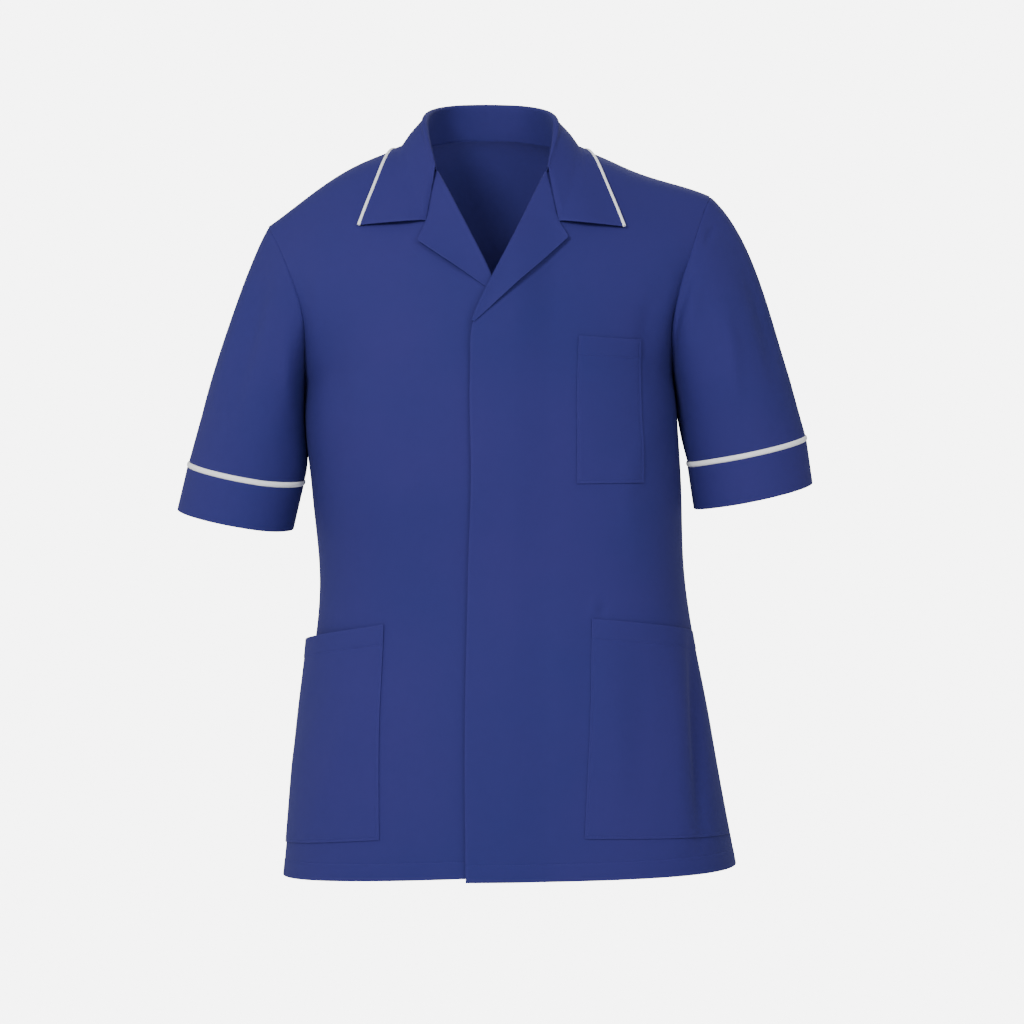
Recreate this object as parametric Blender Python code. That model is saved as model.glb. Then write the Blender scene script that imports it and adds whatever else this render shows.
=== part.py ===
"""Work tunic: short sleeves, notched revere collar with piping, three patch pockets.

The garment is filled out as if worn, hollow, in metres, +Z up. -Y is the front and +X the
wearer's left. The origin is level with the high shoulder points, midway between them.

Each panel is a patch: a table holds one row for each level from hem to shoulder, a row runs
from the panel's inner edge to its outer edge as one curve, and a smooth curve joins the rows.
Everything is worked out square and upright, then `stance` gives it the slight turn and lean of
the pose. Patches get their thickness inward from the form, and what lies on a panel is made
from the panel's own points, moved out.
"""
import math
from collections import namedtuple

import bpy
import numpy as np

# Cloth
CLOTH = 0.0016
POCKET_CLOTH = 0.0012
BAND_CLOTH = 0.0024
COLLAR_CLOTH = 0.0020
SEAM_GAP = 0.0003
LAY = 0.0012

# Closing: the left front laps over the right one
LAP_LIFT = 0.0040
LAP_LIFT_AT_BREAK = 0.0034
LAP_FADE = (0.020, 0.065)
BREAK_HEIGHT = -0.165
BREAK_REACH = 0.055
CLOSING_HEM_STEP = 0.0025
CLOSING_HEM_REACH = (-0.750, -0.640)

# Levels of the pose
UNDERARM_Z = -0.265
POSE_LEVELS = (-0.757, -0.610, -0.444, -0.350, UNDERARM_Z, -0.120, 0.060)
TURN_DEGREES = (-8.0, -7.5, -6.0, -2.0, 0.0, 1.8, 1.8)
SHIFT_X = (0.0195, 0.0150, 0.0120, 0.0060, 0.0, 0.0, 0.0)
LEAN_SLOPE = (0.030, 0.032, 0.036, 0.050, 0.062, 0.062, 0.062)
NECK_LEVEL_X = (0.130, 0.235)
NECK_LEVEL_Z = (-0.350, -0.200)
LEFT_SHOULDER_RISE = 0.0055
RISE_X = (0.140, 0.230)
RISE_Z = (-0.250, -0.110)

# Fineness of the solids
ROWS_BELOW_ARM = 13
ROWS_TO_YOKE = 9
ROWS_AT_TOP = 5
YOKE_DROP = 0.035
FRONT_COLUMNS = 17
NECK_COLUMNS = 6
BACK_SIDE_COLUMNS = 9
SLEEVE_RINGS = 9
SLEEVE_SIDES = 24
CUFF_RINGS = 3
PIPING_SIDES = 6
COLLAR_COLUMNS = 33
LAPEL_ROWS = 10
LAPEL_COLUMNS = 5
POCKET_CELLS = (8, 10)
SAMPLES = 60
SAMPLES_FROM = 0.6
SEARCH_STEPS = 6
FORM_STEP = 0.004
SEARCH_STEP = 0.001
SEAM_REACH = 0.001
SHORTEST = 1e-12

PanelRow = namedtuple("PanelRow", "name in_x in_y in_z out_x out_y out_z "
                                  "in_turn out_turn in_handle out_handle rise")

# Front panel, hem to shoulder: from the front edge and roll line to the side and armhole.
# Turns are the row's heading seen from above, in degrees from straight across.
FRONT = (
    PanelRow("hem", -0.021, -0.150, -0.748, 0.235, 0.000, -0.754, 0, 90, 0.50, 0.42, 0),
    PanelRow("hip", -0.020, -0.143, -0.610, 0.2145, 0.000, -0.612, 0, 90, 0.50, 0.42, 0),
    PanelRow("waist", -0.019, -0.130, -0.444, 0.189, 0.000, -0.446, 0, 90, 0.50, 0.42, 0),
    PanelRow("low_chest", -0.019, -0.136, -0.345, 0.191, 0.001, -0.356, 0, 90, 0.50, 0.445, 0),
    PanelRow("underarm", -0.019, -0.139, -0.240, 0.192, 0.002, UNDERARM_Z, 0, 90, 0.50, 0.45, 0),
    PanelRow("break", -0.018, -0.135, -0.198, 0.189, -0.040, -0.232, 0, 75, 0.48, 0.29, 0),
    PanelRow("across", 0.002, -0.122, -0.148, 0.190, -0.066, -0.180, 4, 50, 0.45, 0.23, 0),
    PanelRow("upper", 0.030, -0.100, -0.091, 0.206, -0.056, -0.128, 10, 30, 0.40, 0.30, 0.003),
    PanelRow("gorge", 0.056, -0.064, -0.038, 0.220, -0.030, -0.093, 8, 14, 0.35, 0.32, 0.006),
    PanelRow("ridge", 0.0715, -0.028, -0.0085, 0.2275, -0.013, -0.0780, 4, 4, 0.34, 0.33, 0.008),
    PanelRow("shoulder", 0.075, 0.000, 0.000, 0.230, 0.000, -0.074, 0, 0, 1 / 3, 1 / 3, 0.008),
)

# Back panel, hem to shoulder: from the centre to the side and armhole. The form runs on over
# the neck opening, which is cut from it.
BACK = (
    PanelRow("hem", 0.000, 0.138, -0.757, 0.235, 0.000, -0.754, 0, -90, 0.55, 0.42, 0),
    PanelRow("hip", 0.000, 0.132, -0.614, 0.2145, 0.000, -0.612, 0, -90, 0.55, 0.42, 0),
    PanelRow("waist", 0.000, 0.113, -0.447, 0.189, 0.000, -0.446, 0, -90, 0.55, 0.42, 0),
    PanelRow("low_chest", 0.000, 0.119, -0.354, 0.191, 0.001, -0.356, 0, -90, 0.55, 0.445, 0),
    PanelRow("underarm", 0.000, 0.124, -0.255, 0.192, 0.002, UNDERARM_Z, 0, -90, 0.55, 0.45, 0),
    PanelRow("armhole", 0.000, 0.124, -0.215, 0.190, 0.042, -0.232, 0, -70, 0.52, 0.29, 0),
    PanelRow("across", 0.000, 0.121, -0.165, 0.193, 0.062, -0.175, 0, -50, 0.48, 0.23, 0),
    PanelRow("blade", 0.000, 0.110, -0.075, 0.208, 0.053, -0.115, 0, -30, 0.42, 0.30, 0.006),
    PanelRow("neck", 0.000, 0.077, 0.0125, 0.221, 0.028, -0.0875, 0, -14, 0.36, 0.32, 0.012),
    PanelRow("ridge", 0.000, 0.030, 0.0190, 0.2275, 0.012, -0.0775, 0, -4, 0.34, 0.33, 0.0165),
    PanelRow("shoulder", 0.000, 0.000, 0.0186, 0.230, 0.000, -0.074, 0, 0, 1 / 3, 1 / 3, 0.0176),
)
NECK_SIDE_X = 0.075
SHOULDER_X = 0.230
SHOULDER_Z = -0.074
NECK_ACROSS = NECK_SIDE_X / SHOULDER_X
CENTRE_REACH = 0.050
RIDGE_NORMAL = np.array((0.430, 0.000, 0.903))
CORNER_FADE = 5
SIDE_SEAM_BLEND = 0.90
SHOULDER_SEAM_BLEND = 0.95

# Sleeves: centre of the piped seam, and the band below it
SleeveForm = namedtuple("SleeveForm", "side seam_x seam_y seam_z cap_out hang_out")
SLEEVES = {
    "left": SleeveForm(1, 0.266, -0.018, -0.336, 0.80, 0.150),
    "right": SleeveForm(-1, 0.2515, -0.018, -0.3295, 0.54, 0.255),
}
SLEEVE_HALF_WIDTH = 0.0615
SLEEVE_HALF_DEPTH = 0.0570
SLEEVE_HANG_BACK = 0.110
SLEEVE_ARRIVE_OUT = 0.300
SLEEVE_CAP_PULL = 0.62
SLEEVE_SEAM_STEP = 0.0009
SLEEVE_UNDER_OUT = 0.06
SLEEVE_SIDE_BULGE = 0.22
SLEEVE_RING_BIAS = 1.3
CUFF_GROW = 0.0004
CUFF_DEPTH = 0.0455
CUFF_PIPING_HEIGHT = 0.0056
CUFF_PIPING_THICKNESS = 0.0034
PIPING_CLEAR = 0.0002

CollarRow = namedtuple("CollarRow", "name u roll edge")

# Collar from the centre back to the gorge: roll edge and outer edge
COLLAR_AT_SHOULDER = 0.56
COLLAR = (
    CollarRow("centre back", 0.00, (0.000, 0.068, 0.0460), (0.000, 0.098, -0.014)),
    CollarRow("back", 0.25, (0.039, 0.055, 0.0425), (0.058, 0.082, -0.016)),
    CollarRow("side back", 0.42, (0.057, 0.026, 0.0345), (0.090, 0.044, -0.015)),
    CollarRow("shoulder", COLLAR_AT_SHOULDER, (0.0635, -0.004, 0.0250), (0.0985, 0.000, -0.010)),
    CollarRow("side front", 0.78, (0.0640, -0.036, 0.004), (0.116, -0.055, -0.046)),
    CollarRow("gorge", 1.00, (0.0595, -0.064, -0.028), (0.133, -0.100, -0.094)),
)
ROLL_RADIUS = 0.0028
STAND_ROWS = 5
FALL_ROWS = 6
FALL_BULGE = 0.001
FALL_RESTS_FROM = 0.35
COLLAR_SEAT = 0.0009
COLLAR_LAY = 0.0022
COLLAR_EASING = 4
EDGE_PUSH = (0.30, 0.80)
NOTCH = (0.0665, -0.0905)
NOTCH_SHARE = 0.45
NOTCH_BEND_FROM = 0.70
COLLAR_PIPING_WIDTH = 0.0036
COLLAR_PIPING_THICKNESS = 0.0030

LapelForm = namedtuple("LapelForm", "side tip foot end lay")

# Lapels, front view: the tip, where the outer edge would meet the front edge, how far down the
# turned part is built, as a share of the roll line, and its distance from the front
LAPELS = {
    "left": LapelForm(1, (0.0755, -0.109), (-0.018, -0.198), 0.985, 0.0017),
    "right": LapelForm(-1, (0.0745, -0.113), (-0.018, -0.176), 0.78, 0.0012),
}
LAPEL_TIP_SHARE = 0.20
LAPEL_NOTCH_DROP = 0.0020

# Pockets, front view corners: x and z of the mouth and of the bottom edge
CHEST_POCKET = {"mouth_x": (0.088, 0.153), "mouth_z": (-0.208, -0.211),
                "base_x": (0.0855, 0.152), "base_z": (-0.360, -0.362)}
LOWER_POCKET = {"mouth_x": {"left": 0.104, "right": 0.105}, "mouth_z": (-0.4935, -0.513),
                "base_x": {"left": 0.0965, "right": 0.109}, "base_z": (-0.709, -0.721)}
POCKET_SIDE_SHARE = 0.985
POCKET_REACH_UP = 0.6
POCKET_GAPE = {"left": 0.001, "right": 0.009}
POCKET_GAPE_FADE = 1.5

Paint = namedtuple("Paint", "name colour roughness")
BLUE = Paint("blue cloth", (0.040, 0.052, 0.215), 0.78)
WHITE = Paint("white piping", (0.86, 0.87, 0.90), 0.70)
CLOTH_SHARP_DEGREES = 40
PIPING_SHARP_DEGREES = 70


def unit(vectors):
    """Scale each vector to length one."""
    length = np.linalg.norm(vectors, axis=-1, keepdims=True)
    return vectors / np.maximum(length, SHORTEST)


def smooth_step(low, high, value):
    """Rise smoothly from 0 at `low` to 1 at `high`."""
    share = np.clip((value - low) / (high - low), 0.0, 1.0)
    return share * share * (3.0 - 2.0 * share)


def spline(knots, values, at):
    """Smooth cubic curve through `values` at `knots`, read at the places `at`."""
    knots = np.asarray(knots, float)
    values = np.asarray(values, float)
    steps = np.diff(knots)[:, None]
    slopes = np.diff(values, axis=0) / steps
    middle = (slopes[:-1] * steps[1:] + slopes[1:] * steps[:-1]) / (steps[:-1] + steps[1:])
    tangent = np.vstack((1.5 * slopes[:1] - 0.5 * middle[:1], middle, 1.5 * slopes[-1:] - 0.5 * middle[-1:]))
    at = np.clip(at, knots[0], knots[-1])
    cell = np.clip(np.searchsorted(knots, at, side="right") - 1, 0, len(knots) - 2)
    width = steps[cell, 0][..., None]
    share = ((at - knots[cell]) / steps[cell, 0])[..., None]
    return hermite(values[cell], tangent[cell] * width, values[cell + 1], tangent[cell + 1] * width, share)


def hermite(start, start_tangent, end, end_tangent, share):
    """Cubic curve between two points that leaves and arrives along the given tangents."""
    square = share * share
    cube = square * share
    return (start * (2 * cube - 3 * square + 1) + start_tangent * (cube - 2 * square + share)
            + end * (3 * square - 2 * cube) + end_tangent * (cube - square))


def row_index(table, name):
    """Number of the named row in a table."""
    return [row.name for row in table].index(name)


def row_knots(table):
    """Place the rows of a panel between 0 and 1 by the distances between their outer ends."""
    outer = np.array([(row.out_x, row.out_y, row.out_z) for row in table])
    steps = np.linalg.norm(np.diff(outer, axis=0), axis=1)
    places = np.concatenate(([0.0], np.cumsum(steps)))
    return places / places[-1]


def row_depth(table, name):
    """How far the named row lies below the last one, as a share of the panel's height."""
    return 1.0 - row_knots(table)[row_index(table, name)]


def cornered_spline(knots, values, at, corner):
    """Two splines that meet at the knot `corner` without a common tangent, as at the underarm."""
    low = spline(knots[:corner + 1], values[:corner + 1], at)
    high = spline(knots[corner:], values[corner:], at)
    return np.where(np.asarray(at)[..., None] <= knots[corner], low, high)


def row_curve(table, across, up):
    """Points of a panel, `across` from inner (0) to outer edge (1), `up` from first to last row."""
    knots = row_knots(table)
    values = spline(knots, [row[1:] for row in table], up)
    inner = values[..., 0:3]
    outer = values[..., 3:6]
    corner = row_index(table, "underarm")
    seam = cornered_spline(knots, np.array([row[4:7] for row in table]), up, corner)
    span = np.linalg.norm(outer - inner, axis=-1)
    slope = (outer[..., 2] - inner[..., 2]) / span

    def heading(turn):
        """Direction of the row's end, seen from above, with the row's own mean slope."""
        angle = np.radians(turn)
        return np.stack((np.cos(angle), np.sin(angle), slope), axis=-1)

    first = inner + heading(values[..., 6]) * (values[..., 8] * span)[..., None]
    second = outer - heading(values[..., 7]) * (values[..., 9] * span)[..., None]
    first[..., 2] += values[..., 10]
    second[..., 2] += values[..., 10]
    share = across[..., None]
    rest = 1.0 - share
    points = (rest ** 3 * inner + 3 * rest ** 2 * share * first
              + 3 * rest * share ** 2 * second + share ** 3 * outer)
    return points + (seam - outer) * share ** CORNER_FADE


def front_form(across, up):
    """Form of the wearer's left front, before the lap and the pose."""
    return row_curve(FRONT, across, up)


def back_form(across, up):
    """Form of the wearer's left half of the back, running on over the neck opening.

    Its rows leave the centre level, so that the two halves meet smoothly there.
    """
    points = row_curve(BACK, across, up)
    centre = row_curve(BACK, np.zeros_like(points[..., 0]), up)
    beside = row_curve(BACK, np.full_like(points[..., 0], FORM_STEP), up)
    slope = (beside[..., 2] - centre[..., 2]) / (beside[..., 0] - centre[..., 0])
    near = points[..., 0] * np.exp(-(points[..., 0] / CENTRE_REACH) ** 2)
    points[..., 2] -= slope * near * (1.0 - smooth_step(1.0 - row_depth(BACK, "neck"), 1.0, up))
    return points


def back_top(across):
    """How far up the back panel reaches: to the oval neck seam, and beside it the shoulder seam."""
    inside = np.clip(1.0 - (across / NECK_ACROSS) ** 2, 0.0, 1.0)
    return 1.0 - row_depth(BACK, "neck") * np.sqrt(inside)


def neck_seam(u):
    """Neck seam on the wearer's left: from the centre back (0) past the shoulder to the gorge (1)."""
    behind = np.clip(u / COLLAR_AT_SHOULDER, 0.0, 1.0)
    across = NECK_ACROSS * np.sin(behind * math.pi / 2)
    back = back_form(across, back_top(across))
    ahead = np.clip((u - COLLAR_AT_SHOULDER) / (1.0 - COLLAR_AT_SHOULDER), 0.0, 1.0)
    front = front_form(np.zeros_like(u), 1.0 - row_depth(FRONT, "gorge") * ahead)
    return np.where(u[..., None] <= COLLAR_AT_SHOULDER, back, front)


def form_normals(form, across, up, outward):
    """Unit normals of a form by small steps on it, pointing out of the garment."""
    wide = form(np.clip(across + FORM_STEP, 0, 1), up) - form(np.clip(across - FORM_STEP, 0, 1), up)
    high = form(across, np.clip(up + FORM_STEP, 0, 1)) - form(across, np.clip(up - FORM_STEP, 0, 1))
    return unit(np.cross(wide, high)) * outward


def seam_normals(normals, points, across, up):
    """Bring the normals of panels that meet at a seam together there."""
    low = smooth_step(SIDE_SEAM_BLEND, 1.0, across) * (points[..., 2] < UNDERARM_Z + SEAM_REACH)
    normals = normals * (1 - low[..., None]) + np.array((1.0, 0.0, 0.0)) * low[..., None]
    high = smooth_step(SHOULDER_SEAM_BLEND, 1.0, up) * (points[..., 0] > NECK_SIDE_X - SEAM_REACH)
    normals = normals * (1 - high[..., None]) + RIDGE_NORMAL * high[..., None]
    return unit(normals)


def mirrored(points, side):
    """Copy points to the wearer's left (1) or right (-1)."""
    return points * np.array((side, 1.0, 1.0))


def lap_lift(points):
    """How far the left front stands out over the right one at the closing."""
    near = 1.0 - smooth_step(LAP_FADE[0], LAP_FADE[1], np.abs(points[..., 0]))
    top = BREAK_HEIGHT + BREAK_REACH
    near = near * (1.0 - smooth_step(top, top + BREAK_REACH, points[..., 2]))
    at_break = np.exp(-((points[..., 2] - BREAK_HEIGHT) / BREAK_REACH) ** 2)
    return near * (LAP_LIFT + LAP_LIFT_AT_BREAK * at_break)


def front_surface(side, across, up, lift=0.0):
    """Points and normals of a front panel's outside, moved out by `lift`."""
    points = front_form(across, up)
    normals = seam_normals(form_normals(front_form, across, up, 1.0), points, across, up)
    low = 1.0 - smooth_step(CLOSING_HEM_REACH[0], CLOSING_HEM_REACH[1], points[..., 2])
    points[..., 2] -= side * CLOSING_HEM_STEP * low * (1.0 - across) ** 2
    out = lift + (lap_lift(points) if side > 0 else 0.0 * points[..., 0])
    return mirrored(points + normals * np.asarray(out)[..., None], side), mirrored(normals, side)


def back_surface(side, across, up):
    """Points and normals of half of the back panel's outside."""
    points = back_form(across, up)
    normals = seam_normals(form_normals(back_form, across, up, -1.0), points, across, up)
    return mirrored(points, side), mirrored(normals, side)


def on_front(x, z):
    """Find where a point of the front view lies on the front form, as across and up."""
    across, up = np.meshgrid(np.linspace(0, 1, SAMPLES), np.linspace(0, 1, SAMPLES))
    samples = front_form(across, up)
    x = np.atleast_1d(np.asarray(x, float))
    z = np.atleast_1d(np.asarray(z, float))
    far = (samples[None, ..., 0] - x[:, None, None]) ** 2 + (samples[None, ..., 2] - z[:, None, None]) ** 2
    best = far.reshape(len(x), -1).argmin(axis=1)
    across = across.ravel()[best]
    up = up.ravel()[best]
    step = SEARCH_STEP
    for _ in range(SEARCH_STEPS):
        here = front_form(across, up)
        wide = (front_form(across + step, up) - here) / step
        high = (front_form(across, up - step) - here) / -step
        miss_x = x - here[:, 0]
        miss_z = z - here[:, 2]
        area = wide[:, 0] * high[:, 2] - wide[:, 2] * high[:, 0]
        across = np.clip(across + (miss_x * high[:, 2] - miss_z * high[:, 0]) / area, 0, 1 - step)
        up = np.clip(up + (miss_z * wide[:, 0] - miss_x * wide[:, 2]) / area, step, 1)
    return across, up


def stance(points, lowest=-1.0):
    """Give upright points the pose: a turn and shift of the lower body and a lean to one side.

    The wearer's left shoulder is drawn up a little. Sleeves pass the underarm as `lowest`, so
    that they hang from the shoulder unturned.
    """
    level = np.maximum(points[..., 2], lowest)
    pose = spline(POSE_LEVELS, np.stack((TURN_DEGREES, SHIFT_X, LEAN_SLOPE), axis=1), level)
    turn = np.radians(pose[..., 0])
    shift = pose[..., 1]
    slope = pose[..., 2]
    beside_neck = smooth_step(NECK_LEVEL_X[0], NECK_LEVEL_X[1], np.abs(points[..., 0]))
    at_neck = smooth_step(NECK_LEVEL_Z[0], NECK_LEVEL_Z[1], level)
    slope = slope * (1.0 - at_neck + at_neck * beside_neck)
    x = points[..., 0] * np.cos(turn) - points[..., 1] * np.sin(turn) + shift
    y = points[..., 0] * np.sin(turn) + points[..., 1] * np.cos(turn)
    outward = smooth_step(RISE_X[0], RISE_X[1], points[..., 0])
    rise = LEFT_SHOULDER_RISE * outward * smooth_step(RISE_Z[0], RISE_Z[1], points[..., 2])
    return np.stack((x, y, points[..., 2] + slope * points[..., 0] + rise), axis=-1)


def drawn_in(grid, edges, gap):
    """Draw the named edges of a grid in by `gap`, so that neighbours stay apart at a seam."""
    grid = grid.copy()
    if "outer" in edges:
        grid[:, -1] += unit(grid[:, -2] - grid[:, -1]) * gap
    if "inner" in edges:
        grid[:, 0] += unit(grid[:, 1] - grid[:, 0]) * gap
    if "top" in edges:
        grid[-1] += unit(grid[-2] - grid[-1]) * gap
    if "bottom" in edges:
        grid[0] += unit(grid[1] - grid[0]) * gap
    return grid


def paint(finish):
    """Material with the finish's colour and roughness."""
    material = bpy.data.materials.get(finish.name) or bpy.data.materials.new(finish.name)
    material.use_nodes = True
    shader = material.node_tree.nodes["Principled BSDF"]
    shader.inputs["Base Color"].default_value = (*finish.colour, 1.0)
    shader.inputs["Roughness"].default_value = finish.roughness
    shader.inputs["Metallic"].default_value = 0.0
    return material


def grid_faces(ids):
    """Four-sided faces between the numbered points of a grid."""
    return np.stack((ids[:-1, :-1], ids[:-1, 1:], ids[1:, 1:], ids[1:, :-1]), axis=-1).reshape(-1, 4)


def add_piece(name, points, faces, finish, sharp_degrees):
    """Make one closed object, its faces turned to point outward."""
    volume = 0.0
    for face in faces:
        for second, third in zip(face[1:-1], face[2:]):
            volume += np.dot(points[face[0]], np.cross(points[second], points[third]))
    if volume < 0:
        faces = [face[::-1] for face in faces]
    mesh = bpy.data.meshes.new(name)
    mesh.from_pydata(points.tolist(), [], faces)
    mesh.materials.append(paint(finish))
    mesh.shade_smooth()
    mesh.set_sharp_from_angle(angle=math.radians(sharp_degrees))
    bpy.context.scene.collection.objects.link(bpy.data.objects.new(name, mesh))


def solid(name, outer, inner, finish, closed=False):
    """Closed wall between an outer and an inner grid of points, as one object.

    `closed` joins the last column to the first, as round a sleeve.
    """
    rows, columns = outer.shape[:2]
    count = rows * columns
    ids = np.arange(count).reshape(rows, columns)
    if closed:
        ids = np.hstack((ids, ids[:, :1]))
    edges = [ids[0], ids[-1, ::-1]]
    if not closed:
        edges += [ids[::-1, 0], ids[:, -1]]
    faces = [grid_faces(ids), grid_faces(ids)[:, ::-1] + count]
    for edge in edges:
        faces.append(np.stack((edge[:-1], edge[:-1] + count, edge[1:] + count, edge[1:]), axis=-1))
    points = np.concatenate((outer.reshape(-1, 3), inner.reshape(-1, 3)))
    add_piece(name, points, np.concatenate(faces).tolist(), finish, CLOTH_SHARP_DEGREES)


def tube(name, rings, finish, ends=False):
    """Piping: a grid whose rows run lengthways and close round it; `ends` caps its two ends."""
    rows, columns = rings.shape[:2]
    ids = np.arange(rows * columns).reshape(rows, columns)
    caps = [ids[:, 0].tolist(), ids[::-1, -1].tolist()] if ends else []
    ids = np.vstack((ids, ids[:1]))
    if not ends:
        ids = np.hstack((ids, ids[:, :1]))
    faces = grid_faces(ids).tolist() + caps
    add_piece(name, rings.reshape(-1, 3), faces, finish, PIPING_SHARP_DEGREES)


def drawn_grid(columns, underarm, top):
    """Across and up of the drawn points of a panel.

    The rows are level up to the yoke, the same ones on front and back, and run from there to `top`.
    """
    yoke = 1.0 - row_depth(BACK, "neck") - YOKE_DROP
    levels = np.concatenate((np.linspace(0, underarm, ROWS_BELOW_ARM + 1),
                             np.linspace(underarm, yoke, ROWS_TO_YOKE + 1)[1:]))
    share = np.linspace(0, 1, ROWS_AT_TOP + 1)[1:, None]
    up = np.concatenate((levels[:, None] * np.ones_like(columns), yoke + (top - yoke) * share))
    return columns * np.ones_like(up), up


def build_front(name, side):
    """Front panel from the hem to the shoulder seam, open at the neck and armhole."""
    columns = np.linspace(0, 1, FRONT_COLUMNS)
    across, up = drawn_grid(columns, row_knots(FRONT)[row_index(FRONT, "underarm")], np.ones_like(columns))
    points, normals = front_surface(side, across, up)
    outer = drawn_in(points, ("outer", "top"), SEAM_GAP)
    inner = drawn_in(points - normals * CLOTH, ("outer", "top"), SEAM_GAP)
    solid(name, stance(outer), stance(inner), BLUE)


def build_back():
    """Back panel in one piece, from side seam to side seam."""
    beside_neck = np.linspace(NECK_ACROSS, 1, BACK_SIDE_COLUMNS)[1:]
    half = np.concatenate((NECK_ACROSS * np.sin(np.linspace(0, math.pi / 2, NECK_COLUMNS)), beside_neck))
    columns = np.concatenate((-half[:0:-1], half))
    underarm = row_knots(BACK)[row_index(BACK, "underarm")]
    across, up = drawn_grid(columns, underarm, back_top(np.abs(columns)))
    points, normals = back_surface(1, np.abs(across), up)
    sign = np.stack((np.where(across < 0, -1.0, 1.0), np.ones_like(up), np.ones_like(up)), axis=-1)
    points = points * sign
    normals = normals * sign
    outer = drawn_in(points, ("outer", "inner", "top"), SEAM_GAP)
    inner = drawn_in(points - normals * CLOTH, ("outer", "inner", "top"), SEAM_GAP)
    solid("back", stance(outer), stance(inner), BLUE)


def armhole_ring(side, count):
    """Points round an armhole: from the underarm up the front, over the shoulder, down the back."""
    start = row_knots(FRONT)[row_index(FRONT, "underarm")]
    back_start = row_knots(BACK)[row_index(BACK, "underarm")]
    up = np.linspace(start, 1, SAMPLES)
    front = front_form(np.ones_like(up), up)
    up = np.linspace(1, back_start, SAMPLES)
    back = back_form(np.ones_like(up), up)
    route = np.vstack((front, back[1:]))
    places = np.concatenate(([0.0], np.cumsum(np.linalg.norm(np.diff(route, axis=0), axis=1))))
    at = np.linspace(0, places[-1], count, endpoint=False)
    return mirrored(np.stack([np.interp(at, places, route[:, axis]) for axis in range(3)], axis=-1), side)


def sleeve_axis(form):
    """Direction in which a sleeve hangs at its piped seam."""
    return unit(np.array((form.side * form.hang_out, SLEEVE_HANG_BACK, -1.0)))


def sleeve_ring(form, count, beyond=0.0, grow=0.0):
    """Oval ring at the sleeve's piped seam, or `beyond` it along the sleeve, grown by `grow`."""
    axis = sleeve_axis(form)
    wide = unit(np.cross(np.array((0.0, 1.0, 0.0)), axis))
    wide = wide * np.sign(wide[0]) * form.side
    deep = unit(np.cross(axis, wide))
    deep = deep * -np.sign(deep[1])
    turn = np.linspace(0, 2 * math.pi, count, endpoint=False)[:, None]
    centre = np.array((form.side * form.seam_x, form.seam_y, form.seam_z)) + axis * beyond
    spoke = (-np.cos(turn) * wide * (SLEEVE_HALF_WIDTH + grow)
             + np.sin(turn) * deep * (SLEEVE_HALF_DEPTH + grow))
    return centre + spoke


def ring_normals(grid):
    """Outward normals of a tube's grid, rings first."""
    round_way = np.roll(grid, -1, axis=1) - np.roll(grid, 1, axis=1)
    long_way = np.gradient(grid, axis=0)
    normals = unit(np.cross(round_way, long_way))
    centre = grid.mean(axis=1, keepdims=True)
    facing = np.sign(np.sum(normals * (grid - centre), axis=-1).mean())
    return normals * facing


def sleeve_grid(form, rings, count):
    """Outside of a sleeve, from the armhole to the piped seam, with its thickness directions."""
    start = armhole_ring(form.side, count)
    end = sleeve_ring(form, count, beyond=-CUFF_PIPING_HEIGHT / 2 - PIPING_CLEAR)
    length = np.linalg.norm(end - start, axis=1, keepdims=True)
    height = np.clip((start[:, 2:3] - UNDERARM_Z) / (SHOULDER_Z - UNDERARM_Z), 0, 1)
    out = SLEEVE_UNDER_OUT + (form.cap_out - SLEEVE_UNDER_OUT) * height
    pull = length * (1.0 - (1.0 - SLEEVE_CAP_PULL) * height ** 2)
    forward = np.sin(np.linspace(0, 2 * math.pi, count, endpoint=False))[:, None]
    leave = np.concatenate((form.side * out, -SLEEVE_SIDE_BULGE * forward, -np.sqrt(1 - out ** 2)), axis=1)
    arrive = unit(np.array((form.side * SLEEVE_ARRIVE_OUT, SLEEVE_HANG_BACK, -1.0)))
    start = start + np.array((form.side * SLEEVE_SEAM_STEP, 0.0, 0.0))
    share = np.linspace(0, 1, rings)[:, None, None] ** SLEEVE_RING_BIAS
    grid = hermite(start[None], (leave * pull)[None], end[None], (arrive * length)[None], share)
    normals = ring_normals(grid)
    flat = start - start.mean(axis=0)
    flat[:, 0] = 0.0
    normals[0] = unit(flat)
    return grid, normals


def build_sleeve(name, form):
    """Short sleeve with its own cuff band and the piping between them."""
    grid, normals = sleeve_grid(form, SLEEVE_RINGS, SLEEVE_SIDES)
    inner = grid - normals * CLOTH
    solid("sleeve_" + name, stance(grid, UNDERARM_Z), stance(inner, UNDERARM_Z), BLUE, closed=True)
    top = CUFF_PIPING_HEIGHT / 2 + PIPING_CLEAR
    levels = np.linspace(top, top + CUFF_DEPTH, CUFF_RINGS)
    outer = np.stack([sleeve_ring(form, SLEEVE_SIDES, level, CUFF_GROW) for level in levels])
    inner = np.stack([sleeve_ring(form, SLEEVE_SIDES, level, CUFF_GROW - BAND_CLOTH) for level in levels])
    solid("cuff_" + name, stance(outer, UNDERARM_Z), stance(inner, UNDERARM_Z), BLUE, closed=True)
    turns = np.linspace(0, 2 * math.pi, PIPING_SIDES, endpoint=False)
    rings = []
    for turn in turns:
        grow = CUFF_PIPING_THICKNESS / 2 * math.cos(turn) - CLOTH / 2
        rings.append(sleeve_ring(form, SLEEVE_SIDES, CUFF_PIPING_HEIGHT / 2 * math.sin(turn), grow))
    tube("cuff_piping_" + name, stance(np.stack(rings), UNDERARM_Z), WHITE)


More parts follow.
